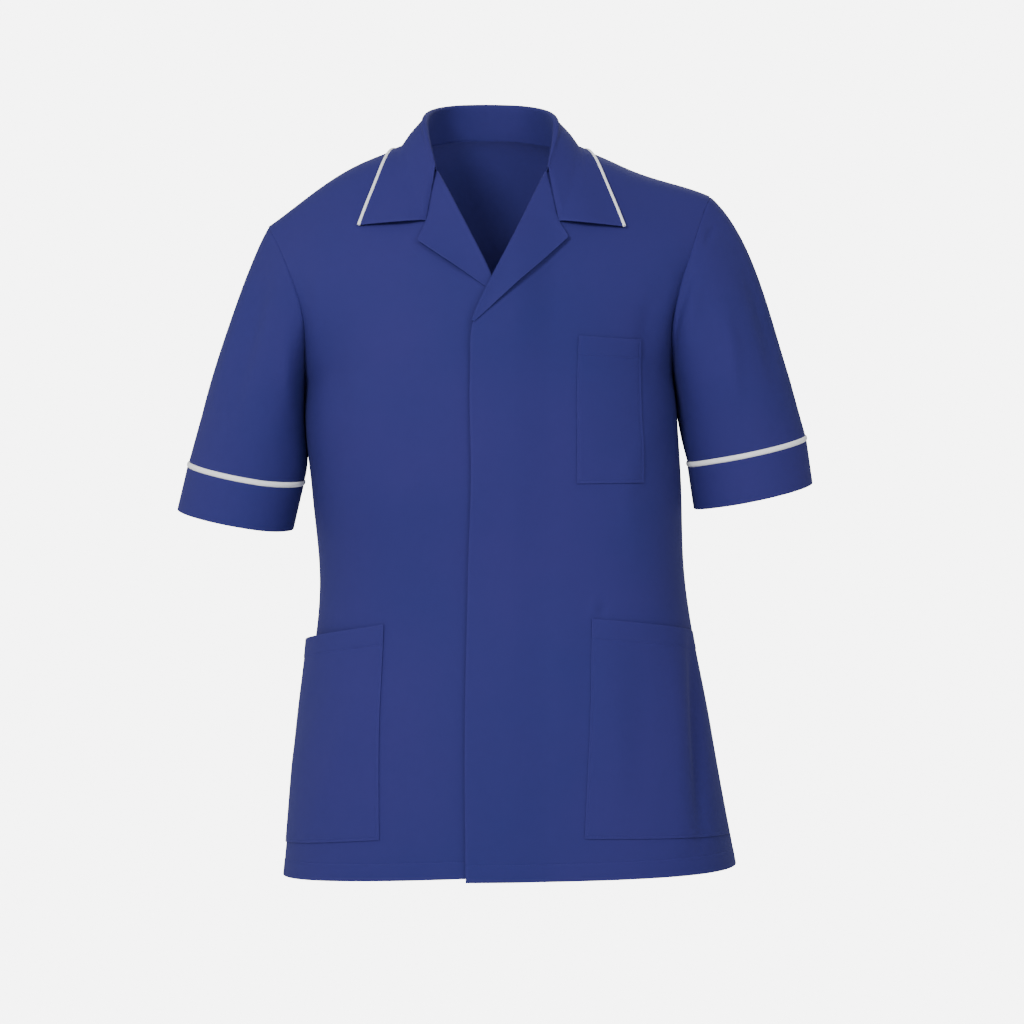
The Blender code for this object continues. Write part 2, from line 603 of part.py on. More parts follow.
def body_samples():
    """Dense points and normals of the body's outside, for what rests on it."""
    across, up = np.meshgrid(np.linspace(0, 1, SAMPLES), np.linspace(SAMPLES_FROM, 1, 2 * SAMPLES))
    reach = SAMPLES_FROM + (up - SAMPLES_FROM) * (back_top(across) - SAMPLES_FROM) / (1 - SAMPLES_FROM)
    found = []
    for side in (1, -1):
        for points, normals in (front_surface(side, across, up), back_surface(side, across, reach)):
            found.append((points.reshape(-1, 3), normals.reshape(-1, 3)))
    return np.vstack([pair[0] for pair in found]), np.vstack([pair[1] for pair in found])


def settled(points, share, clearance):
    """Lay collar points on the body: never nearer than `clearance`, and at it where share is 1."""
    samples, normals = body_samples()
    flat = points.reshape(-1, 3)
    weight = share.reshape(-1)
    moved = flat.copy()
    for index, point in enumerate(flat):
        near = np.argmin(((samples - point) ** 2).sum(axis=1))
        normal = normals[near]
        want = clearance - np.dot(point - samples[near], normal)
        if want < 0:
            want *= weight[index]
        level = 1.0 - smooth_step(EDGE_PUSH[0], EDGE_PUSH[1], -normal[1])
        way = unit(np.array((0.0, normal[1], normal[2] * level)))
        moved[index] = point + way * want / max(np.dot(way, normal), EDGE_PUSH[0])
    return moved.reshape(points.shape)


def collar_middle():
    """Middle surface of the collar: rows from the neck seam over the roll to the outer edge."""
    u = np.linspace(-1, 1, COLLAR_COLUMNS)
    table = spline([row.u for row in COLLAR], [(*row.roll, *row.edge) for row in COLLAR], np.abs(u))
    sign = np.stack((np.where(u < 0, -1.0, 1.0), np.ones_like(u), np.ones_like(u)), axis=-1)
    seam = neck_seam(np.abs(u)) * sign + np.array((0.0, 0.0, COLLAR_SEAT))
    roll = table[:, 0:3] * sign
    edge = table[:, 3:6] * sign
    away = edge - roll
    away[:, 2] = 0.0
    away = unit(away)
    over = roll + away * ROLL_RADIUS + np.array((0.0, 0.0, ROLL_RADIUS))
    down = roll + away * 2 * ROLL_RADIUS
    rows = [seam, (seam + roll) / 2, roll, over, down]
    weights = []
    notch_across, notch_up = on_front(NOTCH[0], NOTCH[1])
    notch = front_surface(1, notch_across, notch_up, COLLAR_LAY + COLLAR_CLOTH / 2)[0][0]
    bend = smooth_step(NOTCH_BEND_FROM, 1.0, np.abs(u))[:, None]
    for share in np.linspace(0, 1, FALL_ROWS + 1)[1:]:
        straight = down + (edge - down) * share
        if share < NOTCH_SHARE:
            cornered = down + (notch * sign - down) * (share / NOTCH_SHARE)
        else:
            cornered = notch * sign + (edge - notch * sign) * ((share - NOTCH_SHARE) / (1 - NOTCH_SHARE))
        row = straight * (1 - bend) + cornered * bend
        row = row + away * FALL_BULGE * math.sin(math.pi * share)
        rows.append(row)
        weights.append(np.full(COLLAR_COLUMNS, smooth_step(FALL_RESTS_FROM, 1.0, share)))
    grid = np.stack(rows)
    height = COLLAR_LAY + COLLAR_CLOTH / 2
    laid = settled(grid[STAND_ROWS:], np.array(weights), height)
    for _ in range(COLLAR_EASING):
        laid[:, 1:-1] = laid[:, 1:-1] / 2 + (laid[:, :-2] + laid[:, 2:]) / 4
    laid = settled(laid, np.zeros_like(laid[..., 0]), height)
    return np.concatenate((grid[:STAND_ROWS], laid))


def sheet_normals(grid):
    """Unit normals of an open grid of points."""
    return unit(np.cross(np.gradient(grid, axis=1), np.gradient(grid, axis=0)))


def build_collar():
    """Collar in one rounded fold, and the piping along its outer edge."""
    middle = collar_middle()
    normals = sheet_normals(middle)
    half = COLLAR_CLOTH / 2
    solid("collar", stance(middle + normals * half), stance(middle - normals * half), BLUE)
    edge = middle[-1]
    along = unit(np.gradient(edge, axis=0))
    outward = middle[-1] - middle[-2]
    outward = unit(outward - along * np.sum(outward * along, axis=1, keepdims=True))
    up = unit(np.cross(along, outward))
    centre = edge + outward * (PIPING_CLEAR + 2 * SEAM_GAP + COLLAR_PIPING_WIDTH / 2)
    centre = settled(centre, np.zeros(len(centre)), COLLAR_LAY + SEAM_GAP + COLLAR_PIPING_THICKNESS / 2)
    rings = []
    for turn in np.linspace(0, 2 * math.pi, PIPING_SIDES, endpoint=False):
        rings.append(centre + outward * COLLAR_PIPING_WIDTH / 2 * math.cos(turn)
                     + up * COLLAR_PIPING_THICKNESS / 2 * math.sin(turn))
    tube("collar_piping", stance(np.stack(rings)), WHITE, ends=True)


def lapel_outline(form):
    """Front view of a lapel: its roll line and its outer edge, from the gorge down."""
    knots = row_knots(FRONT)
    lowest = knots[row_index(FRONT, "break")]
    share = np.linspace(0, form.end, LAPEL_ROWS)
    highest = knots[row_index(FRONT, "gorge")]
    up = highest + (lowest - highest) * share
    roll = front_form(np.zeros_like(up), up)[:, [0, 2]]
    bottom = np.array(form.foot)
    notch = np.array((NOTCH[0], NOTCH[1] - LAPEL_NOTCH_DROP))
    tip = np.array(form.tip)
    early = np.clip(share / LAPEL_TIP_SHARE, 0, 1)[:, None]
    late = np.clip((share - LAPEL_TIP_SHARE) / (1 - LAPEL_TIP_SHARE), 0, 1)[:, None]
    above = share[:, None] < LAPEL_TIP_SHARE
    edge = np.where(above, notch + (tip - notch) * early, tip + (bottom - tip) * late)
    return roll, edge


def build_lapel(name, form):
    """Turned-out front facing, lying on its front panel."""
    roll, edge = lapel_outline(form)
    share = np.linspace(0.0, 1.0, LAPEL_COLUMNS)[None, :, None]
    view = roll[:, None] * (1 - share) + edge[:, None] * share
    across, up = on_front(view[..., 0].ravel(), view[..., 1].ravel())
    shape = view.shape[:2]
    inner, _ = front_surface(form.side, across.reshape(shape), up.reshape(shape), form.lay)
    outer, _ = front_surface(form.side, across.reshape(shape), up.reshape(shape), form.lay + COLLAR_CLOTH)
    solid("lapel_" + name, stance(outer), stance(inner), BLUE)


def patch(name, side, across, up, gape=0.0):
    """Pocket on a front panel, standing off it by `gape` where that is given."""
    inner, _ = front_surface(side, across, up, LAY + gape)
    outer, _ = front_surface(side, across, up, LAY + POCKET_CLOTH + gape)
    solid(name, stance(outer), stance(inner), BLUE)


def build_chest_pocket():
    """Patch pocket on the wearer's left chest."""
    rows, columns = POCKET_CELLS
    down = np.linspace(0, 1, rows)[:, None]
    wide = np.linspace(0, 1, columns)[None, :]
    corner = CHEST_POCKET
    mouth_x = corner["mouth_x"][0] + (corner["mouth_x"][1] - corner["mouth_x"][0]) * wide
    base_x = corner["base_x"][0] + (corner["base_x"][1] - corner["base_x"][0]) * wide
    mouth_z = corner["mouth_z"][0] + (corner["mouth_z"][1] - corner["mouth_z"][0]) * wide
    base_z = corner["base_z"][0] + (corner["base_z"][1] - corner["base_z"][0]) * wide
    x = mouth_x + (base_x - mouth_x) * down
    z = mouth_z + (base_z - mouth_z) * down
    across, up = on_front(x.ravel(), z.ravel())
    patch("chest_pocket", 1, across.reshape(rows, columns), up.reshape(rows, columns))


def build_lower_pocket(name, side):
    """Large patch pocket that reaches the side seam, its mouth standing open a little."""
    rows, columns = POCKET_CELLS
    spot = LOWER_POCKET
    across, up = on_front([spot["mouth_x"][name], spot["base_x"][name]],
                          [spot["mouth_z"][0], spot["base_z"][0]])
    side_levels = np.array((spot["mouth_z"][1], spot["base_z"][1]))
    levels = np.linspace(0, POCKET_REACH_UP, SAMPLES)
    side_up = np.interp(side_levels, front_form(np.ones_like(levels), levels)[:, 2], levels)
    down = np.linspace(0, 1, rows)[:, None]
    wide = np.linspace(0, 1, columns)[None, :]
    inner_across = across[0] + (across[1] - across[0]) * down
    inner_up = up[0] + (up[1] - up[0]) * down
    outer_up = side_up[0] + (side_up[1] - side_up[0]) * down
    grid_across = inner_across + (POCKET_SIDE_SHARE - inner_across) * wide
    grid_up = inner_up + (outer_up - inner_up) * wide
    gape = POCKET_GAPE[name] * (1 - down) ** POCKET_GAPE_FADE * np.sin(math.pi / 2 * wide) ** 2
    patch("lower_pocket_" + name, side, grid_across, grid_up, gape)


def main():
    """Clear the scene and build every piece of the tunic."""
    for thing in list(bpy.data.objects):
        bpy.data.objects.remove(thing)
    build_front("front_left", 1)
    build_front("front_right", -1)
    build_back()
    for name, form in SLEEVES.items():
        build_sleeve(name, form)
    build_collar()
    for name, form in LAPELS.items():
        build_lapel(name, form)
    build_chest_pocket()
    build_lower_pocket("left", 1)
    build_lower_pocket("right", -1)


main()
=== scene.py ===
"""Work tunic, dressed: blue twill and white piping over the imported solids.

The garment is worked out as smooth forms. A panel is a table of rows from the hem to the
shoulder, read by curves in two parameters: `across`, from its inner edge to its outer edge, and
`up`, from the hem. Everything is worked out square and upright, with the wearer facing -Y and the
wearer's left at +X, and then posed. Cloth is a thin closed wall on such a form. Folds and the
ease of the cloth move both sides of the wall along the form's normals.
"""
from __future__ import annotations

import logging
import math
from dataclasses import dataclass
from enum import Enum
from typing import NamedTuple, Sequence

import bpy
import numpy as np
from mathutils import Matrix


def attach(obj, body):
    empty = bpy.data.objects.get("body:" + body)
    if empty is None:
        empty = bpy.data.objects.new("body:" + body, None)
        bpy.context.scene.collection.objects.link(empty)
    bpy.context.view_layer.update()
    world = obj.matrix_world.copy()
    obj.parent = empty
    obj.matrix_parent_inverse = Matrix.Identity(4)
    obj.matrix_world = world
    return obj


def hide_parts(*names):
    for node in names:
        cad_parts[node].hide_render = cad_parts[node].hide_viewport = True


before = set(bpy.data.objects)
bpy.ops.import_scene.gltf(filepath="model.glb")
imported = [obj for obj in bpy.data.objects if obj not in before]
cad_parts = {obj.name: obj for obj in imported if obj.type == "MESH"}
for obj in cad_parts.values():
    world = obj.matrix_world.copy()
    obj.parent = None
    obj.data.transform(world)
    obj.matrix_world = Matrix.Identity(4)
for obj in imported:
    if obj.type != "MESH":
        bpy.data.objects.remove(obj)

Array = np.ndarray
Corners = tuple[tuple[float, float], tuple[float, float]]
log = logging.getLogger("tunic")

BODY = "root"
UNDERARM_Z = -0.265
EDGE_SHARES = (0.06, 0.25, 0.55, 1.0)
THINNEST_EDGE = 0.30
HEM_EDGE = 0.001
PROBE = 0.001
SHORTEST = 1e-12
BELOW_ALL = -1.0
WHITE = (1.0, 1.0, 1.0, 1.0)
# Places of the share and the two colours, and of the mixed one, on Blender's mixing node.
MIX_COLOUR_INPUTS = (0, 6, 7)
MIX_COLOUR_OUTPUT = 2


class Side(Enum):
    """The wearer's left and right, as the sign of X."""

    LEFT = 1
    RIGHT = -1

    @property
    def word(self) -> str:
        """Name of the side as the pieces carry it."""
        return self.name.lower()

    @property
    def mirror(self) -> Array:
        """Factors that bring points from the wearer's left to this side."""
        return np.array((self.value, 1.0, 1.0))


class Facing(Enum):
    """Which way a fold's cloth faces, as the sign of Y."""

    FRONT = -1
    BACK = 1


class Slot(Enum):
    """Material slots of the record."""

    CLOTH = "cloth"
    PIPING = "piping"


def unit(vectors: Array) -> Array:
    """Scale each vector to length one."""
    length = np.linalg.norm(vectors, axis=-1, keepdims=True)
    return vectors / np.maximum(length, SHORTEST)


def aside(vectors: Array, along: Array) -> Array:
    """Directions of vectors once their parts along the given unit directions are taken out."""
    return unit(vectors - along * np.sum(vectors * along, axis=1, keepdims=True))


def full_turn(count: int) -> Array:
    """Even angles round a circle."""
    return np.linspace(0, 2 * math.pi, count, endpoint=False)


def mirrors(signed: Array) -> Array:
    """Factors for points, which mirror them in X where `signed` is below 0."""
    ones = np.ones_like(signed)
    return np.stack((np.where(signed < 0, -1.0, 1.0), ones, ones), axis=-1)


def run_lengths(line: Array) -> Array:
    """Distance along a line of points to each of them."""
    return np.concatenate(([0.0], np.cumsum(np.linalg.norm(np.diff(line, axis=0), axis=1))))


def read_line(at: Array, places: Array, values: Array) -> Array:
    """Points or directions of a line, read between their places."""
    return np.stack([np.interp(at, places, values[:, axis]) for axis in range(3)], axis=-1)


def bell(gap: Array, width: float) -> Array:
    """Bell curve: 1 where the gap is 0, and next to nothing at two widths."""
    return np.exp(-(gap / width) ** 2)


def smooth_step(low: float, high: float, value: Array) -> Array:
    """Rise smoothly from 0 at `low` to 1 at `high`."""
    share = np.clip((value - low) / (high - low), 0.0, 1.0)
    return share * share * (3.0 - 2.0 * share)


def hermite(start: Array, leave: Array, end: Array, arrive: Array, share: Array) -> Array:
    """Cubic curve between two points that leaves and arrives along the given tangents."""
    square = share * share
    cube = square * share
    return (start * (2 * cube - 3 * square + 1) + leave * (cube - 2 * square + share)
            + end * (3 * square - 2 * cube) + arrive * (cube - square))


def spline(knots: Sequence[float], values: Sequence, at: Array) -> Array:
    """Smooth cubic curve through values at knots.

    Each inner knot's tangent is the mean of the slopes beside it, weighed by the far steps.

    Args:
        knots: Places of the values, rising.
        values: One row of numbers for each knot.
        at: Places to read, of any shape.

    Returns:
        The curve's numbers at each place, along a new last axis.
    """
    places = np.asarray(knots, float)
    rows = np.asarray(values, float)
    steps = np.diff(places)[:, None]
    slopes = np.diff(rows, axis=0) / steps
    middle = (slopes[:-1] * steps[1:] + slopes[1:] * steps[:-1]) / (steps[:-1] + steps[1:])
    first = 1.5 * slopes[:1] - 0.5 * middle[:1]
    last = 1.5 * slopes[-1:] - 0.5 * middle[-1:]
    tangent = np.vstack((first, middle, last))
    at = np.clip(at, places[0], places[-1])
    cell = np.clip(np.searchsorted(places, at, side="right") - 1, 0, len(places) - 2)
    width = steps[cell, 0][..., None]
    share = ((at - places[cell]) / steps[cell, 0])[..., None]
    return hermite(rows[cell], tangent[cell] * width, rows[cell + 1], tangent[cell + 1] * width, share)


def edged_levels(count: int, rim: float, low: float = 0.0, high: float = 1.0, at_low: bool = True,
                 at_high: bool = True) -> Array:
    """Even levels from low to high, with a few close ones where the wall's edge is rounded.

    Args:
        count: Number of even levels.
        rim: Depth of the rounded edge, in the levels' unit.
        low: First level.
        high: Last level.
        at_low: Whether the first level is an edge.
        at_high: Whether the last level is an edge.

    Returns:
        The levels, rising.
    """
    near = rim * np.array(EDGE_SHARES)
    parts = [np.linspace(low, high, count)]
    if at_low:
        parts.append(low + near)
    if at_high:
        parts.append(high - near)
    return np.unique(np.concatenate(parts))


def edge_ease(levels: Array, rim: float, at_low: bool = True, at_high: bool = True) -> Array:
    """Share of the wall's thickness at each level: a quarter circle inside each rounded edge."""
    far = np.full(levels.shape, rim)
    if at_low:
        far = np.minimum(far, levels - levels[0])
    if at_high:
        far = np.minimum(far, levels[-1] - levels)
    share = np.sqrt(np.clip(1.0 - (1.0 - far / rim) ** 2, 0.0, 1.0))
    return THINNEST_EDGE + (1.0 - THINNEST_EDGE) * share


def close_levels(levels: Array, lines: Sequence[float], size: float, width: float, spread: float,
                 count: int) -> Array:
    """Add close levels at lines across a piece, as for a groove.

    Args:
        levels: Levels between 0 and 1.
        lines: Distances of the lines from the first level, in metres.
        size: Size of the whole range, in metres.
        width: Width of each line, in metres.
        spread: How many widths the close levels reach to either side.
        count: Number of close levels for each line.

    Returns:
        The levels, rising.
    """
    near = [line / size + np.linspace(-spread, spread, count) * width / size for line in lines]
    return np.unique(np.concatenate((levels, *near)))


def grid_normals(grid: Array) -> Array:
    """Unit normals of an open grid of points, from its differences along both ways."""
    return unit(np.cross(np.gradient(grid, axis=1), np.gradient(grid, axis=0)))


class PanelRow(NamedTuple):
    """One level of a panel: its two ends, their headings from above in degrees, and its handles."""

    name: str
    in_x: float
    in_y: float
    in_z: float
    out_x: float
    out_y: float
    out_z: float
    in_turn: float
    out_turn: float
    in_handle: float
    out_handle: float
    rise: float


@dataclass(frozen=True)
class Panel:
    """Form of one panel as a table of rows from the hem up."""

    rows: tuple[PanelRow, ...]
    outward: float
    level_to: str = ""
    level_reach: float = 0.050
    corner_fade: int = 5
    normal_step: float = 0.004

    @property
    def outer_ends(self) -> Array:
        """Outer end of each row."""
        return np.array([(row.out_x, row.out_y, row.out_z) for row in self.rows], float)

    def index(self, name: str) -> int:
        """Number of the named row."""
        return [row.name for row in self.rows].index(name)

    def knots(self) -> Array:
        """Places of the rows between 0 and 1, by the distances between their outer ends."""
        places = run_lengths(self.outer_ends)
        return places / places[-1]

    def level(self, name: str) -> float:
        """Place of the named row between 0 and 1."""
        return float(self.knots()[self.index(name)])

    def points(self, across: Array, up: Array) -> Array:
        """Points of the form.

        Where the panel's halves join without a seam, its rows leave the middle level. This fades
        above the row `level_to` and over the distance `level_reach`.
        """
        points = self.row_points(across, up)
        if not self.level_to:
            return points
        middle = self.row_points(np.zeros_like(points[..., 0]), up)
        beside = self.row_points(np.full_like(points[..., 0], self.normal_step), up)
        slope = (beside[..., 2] - middle[..., 2]) / (beside[..., 0] - middle[..., 0])
        near = points[..., 0] * bell(points[..., 0], self.level_reach)
        points[..., 2] -= slope * near * (1.0 - smooth_step(self.level(self.level_to), 1.0, up))
        return points

    def row_points(self, across: Array, up: Array) -> Array:
        """Points of the form as its rows give them.

        A row is a cubic curve between its two ends, with the handles along its headings and its
        own mean slope. Smooth curves join the rows, and beside the outer edge the form bends to
        the side seam and armhole, which meet in a corner at the underarm.

        Args:
            across: From the inner edge (0) to the outer edge (1).
            up: From the hem (0) to the last row (1).

        Returns:
            The points, along a new last axis.
        """
        knots = self.knots()
        corner = self.index("underarm")
        values = spline(knots, [row[1:] for row in self.rows], up)
        ends = self.outer_ends
        below = spline(knots[:corner + 1], ends[:corner + 1], up)
        above = spline(knots[corner:], ends[corner:], up)
        seam = np.where(np.asarray(up)[..., None] <= knots[corner], below, above)
        inner = values[..., 0:3]
        outer = values[..., 3:6]
        in_turn, out_turn, in_handle, out_handle, rise = np.moveaxis(values[..., 6:], -1, 0)
        span = np.linalg.norm(outer - inner, axis=-1)
        slope = (outer[..., 2] - inner[..., 2]) / span

        def heading(degrees: Array) -> Array:
            """Direction of the row's end, seen from above, with the row's own mean slope."""
            angle = np.radians(degrees)
            return np.stack((np.cos(angle), np.sin(angle), slope), axis=-1)

        first = inner + heading(in_turn) * (in_handle * span)[..., None]
        second = outer - heading(out_turn) * (out_handle * span)[..., None]
        first[..., 2] += rise
        second[..., 2] += rise
        share = across[..., None]
        rest = 1.0 - share
        points = (rest ** 3 * inner + 3 * rest ** 2 * share * first
                  + 3 * rest * share ** 2 * second + share ** 3 * outer)
        return points + (seam - outer) * share ** self.corner_fade

    def normals(self, across: Array, up: Array) -> Array:
        """Unit normals of the form by small steps on it, pointing out of the garment."""
        step = self.normal_step
        wide = (self.points(np.clip(across + step, 0, 1), up)
                - self.points(np.clip(across - step, 0, 1), up))
        high = (self.points(across, np.clip(up + step, 0, 1))
                - self.points(across, np.clip(up - step, 0, 1)))
        return unit(np.cross(wide, high)) * self.outward


FRONT = Panel((
    PanelRow("hem", -0.021, -0.150, -0.748, 0.235, 0.000, -0.754, 0, 90, 0.50, 0.42, 0),
    PanelRow("hip", -0.020, -0.143, -0.610, 0.2145, 0.000, -0.612, 0, 90, 0.50, 0.42, 0),
    PanelRow("waist", -0.019, -0.130, -0.444, 0.189, 0.000, -0.446, 0, 90, 0.50, 0.42, 0),
    PanelRow("low_chest", -0.019, -0.136, -0.345, 0.191, 0.001, -0.356, 0, 90, 0.50, 0.445, 0),
    PanelRow("underarm", -0.019, -0.139, -0.240, 0.192, 0.002, UNDERARM_Z, 0, 90, 0.50, 0.45, 0),
    PanelRow("break", -0.018, -0.135, -0.198, 0.189, -0.040, -0.232, 0, 75, 0.48, 0.29, 0),
    PanelRow("across", 0.002, -0.122, -0.148, 0.190, -0.066, -0.180, 4, 50, 0.45, 0.23, 0),
    PanelRow("upper", 0.030, -0.100, -0.091, 0.206, -0.056, -0.128, 10, 30, 0.40, 0.30, 0.003),
    PanelRow("gorge", 0.056, -0.064, -0.038, 0.220, -0.030, -0.093, 8, 14, 0.35, 0.32, 0.006),
    PanelRow("ridge", 0.0715, -0.028, -0.0085, 0.2275, -0.013, -0.0780, 4, 4, 0.34, 0.33, 0.008),
    PanelRow("shoulder", 0.075, 0.000, 0.000, 0.230, 0.000, -0.074, 0, 0, 1 / 3, 1 / 3, 0.008),
), outward=1.0)

BACK = Panel((
    PanelRow("hem", 0.000, 0.138, -0.757, 0.235, 0.000, -0.754, 0, -90, 0.55, 0.42, 0),
    PanelRow("hip", 0.000, 0.132, -0.614, 0.2145, 0.000, -0.612, 0, -90, 0.55, 0.42, 0),
    PanelRow("waist", 0.000, 0.113, -0.447, 0.189, 0.000, -0.446, 0, -90, 0.55, 0.42, 0),
    PanelRow("low_chest", 0.000, 0.119, -0.354, 0.191, 0.001, -0.356, 0, -90, 0.55, 0.445, 0),
    PanelRow("underarm", 0.000, 0.124, -0.255, 0.192, 0.002, UNDERARM_Z, 0, -90, 0.55, 0.45, 0),
    PanelRow("armhole", 0.000, 0.124, -0.215, 0.190, 0.042, -0.232, 0, -70, 0.52, 0.29, 0),
    PanelRow("across", 0.000, 0.121, -0.165, 0.193, 0.062, -0.175, 0, -50, 0.48, 0.23, 0),
    PanelRow("blade", 0.000, 0.110, -0.075, 0.208, 0.053, -0.115, 0, -30, 0.42, 0.30, 0.006),
    PanelRow("neck", 0.000, 0.077, 0.0125, 0.221, 0.028, -0.0875, 0, -14, 0.36, 0.32, 0.012),
    PanelRow("ridge", 0.000, 0.030, 0.0190, 0.2275, 0.012, -0.0775, 0, -4, 0.34, 0.33, 0.0165),
    PanelRow("shoulder", 0.000, 0.000, 0.0186, 0.230, 0.000, -0.074, 0, 0, 1 / 3, 1 / 3, 0.0176),
), outward=-1.0, level_to="neck")


@dataclass(frozen=True)
class Pose:
    """Turn and shift of the lower body, and a lean to one side, by height."""

    levels: tuple[float, ...] = (-0.757, -0.610, -0.444, -0.350, UNDERARM_Z, -0.120, 0.060)
    turn_degrees: tuple[float, ...] = (-8.0, -7.5, -6.0, -2.0, 0.0, 1.8, 1.8)
    shift_x: tuple[float, ...] = (0.0195, 0.0150, 0.0120, 0.0060, 0.0, 0.0, 0.0)
    lean_slope: tuple[float, ...] = (0.030, 0.032, 0.036, 0.050, 0.062, 0.062, 0.062)
    neck_x: tuple[float, float] = (0.130, 0.235)
    neck_z: tuple[float, float] = (-0.350, -0.200)
    left_rise: float = 0.0055
    rise_x: tuple[float, float] = (0.140, 0.230)
    rise_z: tuple[float, float] = (-0.250, -0.110)

    def apply(self, points: Array, lowest: float = BELOW_ALL) -> Array:
        """Pose upright points.

        The lower body is turned about Z and shifted along X by height, and the whole is sheared
        sideways, except near the neck, which stays level. The wearer's left shoulder is drawn
        up a little.

        Args:
            points: Upright points.
            lowest: Level below which the pose no longer changes, as for the sleeves.

        Returns:
            The posed points.
        """
        level = np.maximum(points[..., 2], lowest)
        table = np.stack((self.turn_degrees, self.shift_x, self.lean_slope), axis=1)
        pose = spline(self.levels, table, level)
        turn = np.radians(pose[..., 0])
        beside_neck = smooth_step(*self.neck_x, np.abs(points[..., 0]))
        at_neck = smooth_step(*self.neck_z, level)
        slope = pose[..., 2] * (1.0 - at_neck + at_neck * beside_neck)
        x = points[..., 0] * np.cos(turn) - points[..., 1] * np.sin(turn) + pose[..., 1]
        y = points[..., 0] * np.sin(turn) + points[..., 1] * np.cos(turn)
        outward = smooth_step(*self.rise_x, points[..., 0])
        rise = self.left_rise * outward * smooth_step(*self.rise_z, points[..., 2])
        return np.stack((x, y, points[..., 2] + slope * points[..., 0] + rise), axis=-1)


@dataclass(frozen=True)
class Fold:
    """A soft ridge (depth above 0) or trough (below 0) along a line in the front or back view."""

    facing: Facing
    line: tuple[tuple[float, float], ...]
    width: float
    depth: float
    samples: int = 40
    fullness: float = 0.8
    widths_seen: float = 3.0
    fades_turned: tuple[float, float] = (-0.05, 0.35)

    def relief(self, placed: Array, normals: Array) -> Array:
        """How far the fold moves each point out.

        A bell curve of the distance to the line, which fades over the line's first and last
        thirds and where the cloth turns away from the view.

        Args:
            placed: Posed points.
            normals: Normals at the points.

        Returns:
            The outward move of each point, in metres.
        """
        share = np.linspace(0.0, 1.0, self.samples)
        route = spline(np.linspace(0.0, 1.0, len(self.line)), self.line, share)
        strength = np.sin(np.pi * share) ** self.fullness
        reach = self.widths_seen * self.width
        low = route.min(axis=0) - reach
        high = route.max(axis=0) + reach
        view = placed[..., [0, 2]].reshape(-1, 2)
        near = np.all((view > low) & (view < high), axis=-1)
        found = np.zeros(len(view))
        gap = ((view[near, None] - route) ** 2).sum(axis=-1)
        best = gap.argmin(axis=1)
        found[near] = np.exp(-gap.min(axis=1) / self.width ** 2) * strength[best]
        turned = smooth_step(*self.fades_turned, normals[..., 1] * self.facing.value)
        return found.reshape(placed.shape[:-1]) * turned * self.depth


@dataclass(frozen=True)
class Drape:
    """Folds of the cloth, and its slow unevenness."""

    folds: tuple[Fold, ...]
    ease: float = 0.0011
    waves: tuple[tuple[float, float, float, float], ...] = (
        (17.0, 9.0, 21.0, 0.7), (-11.0, 23.0, 13.0, 2.1),
        (7.0, -15.0, 31.0, 4.4), (29.0, 5.0, -9.0, 5.3))

    def relief(self, placed: Array, normals: Array) -> Array:
        """Outward move of posed points.

        The sum of the folds, and of four slow sine waves that run in different directions.

        Args:
            placed: Posed points.
            normals: Normals at the points.

        Returns:
            The move of each point, in metres.
        """
        move = np.zeros(placed.shape[:-1])
        for along_x, along_y, along_z, start in self.waves:
            phase = placed @ np.array((along_x, along_y, along_z)) + start
            move += np.sin(phase) * self.ease / len(self.waves)
        for fold in self.folds:
            move += fold.relief(placed, normals)
        return move


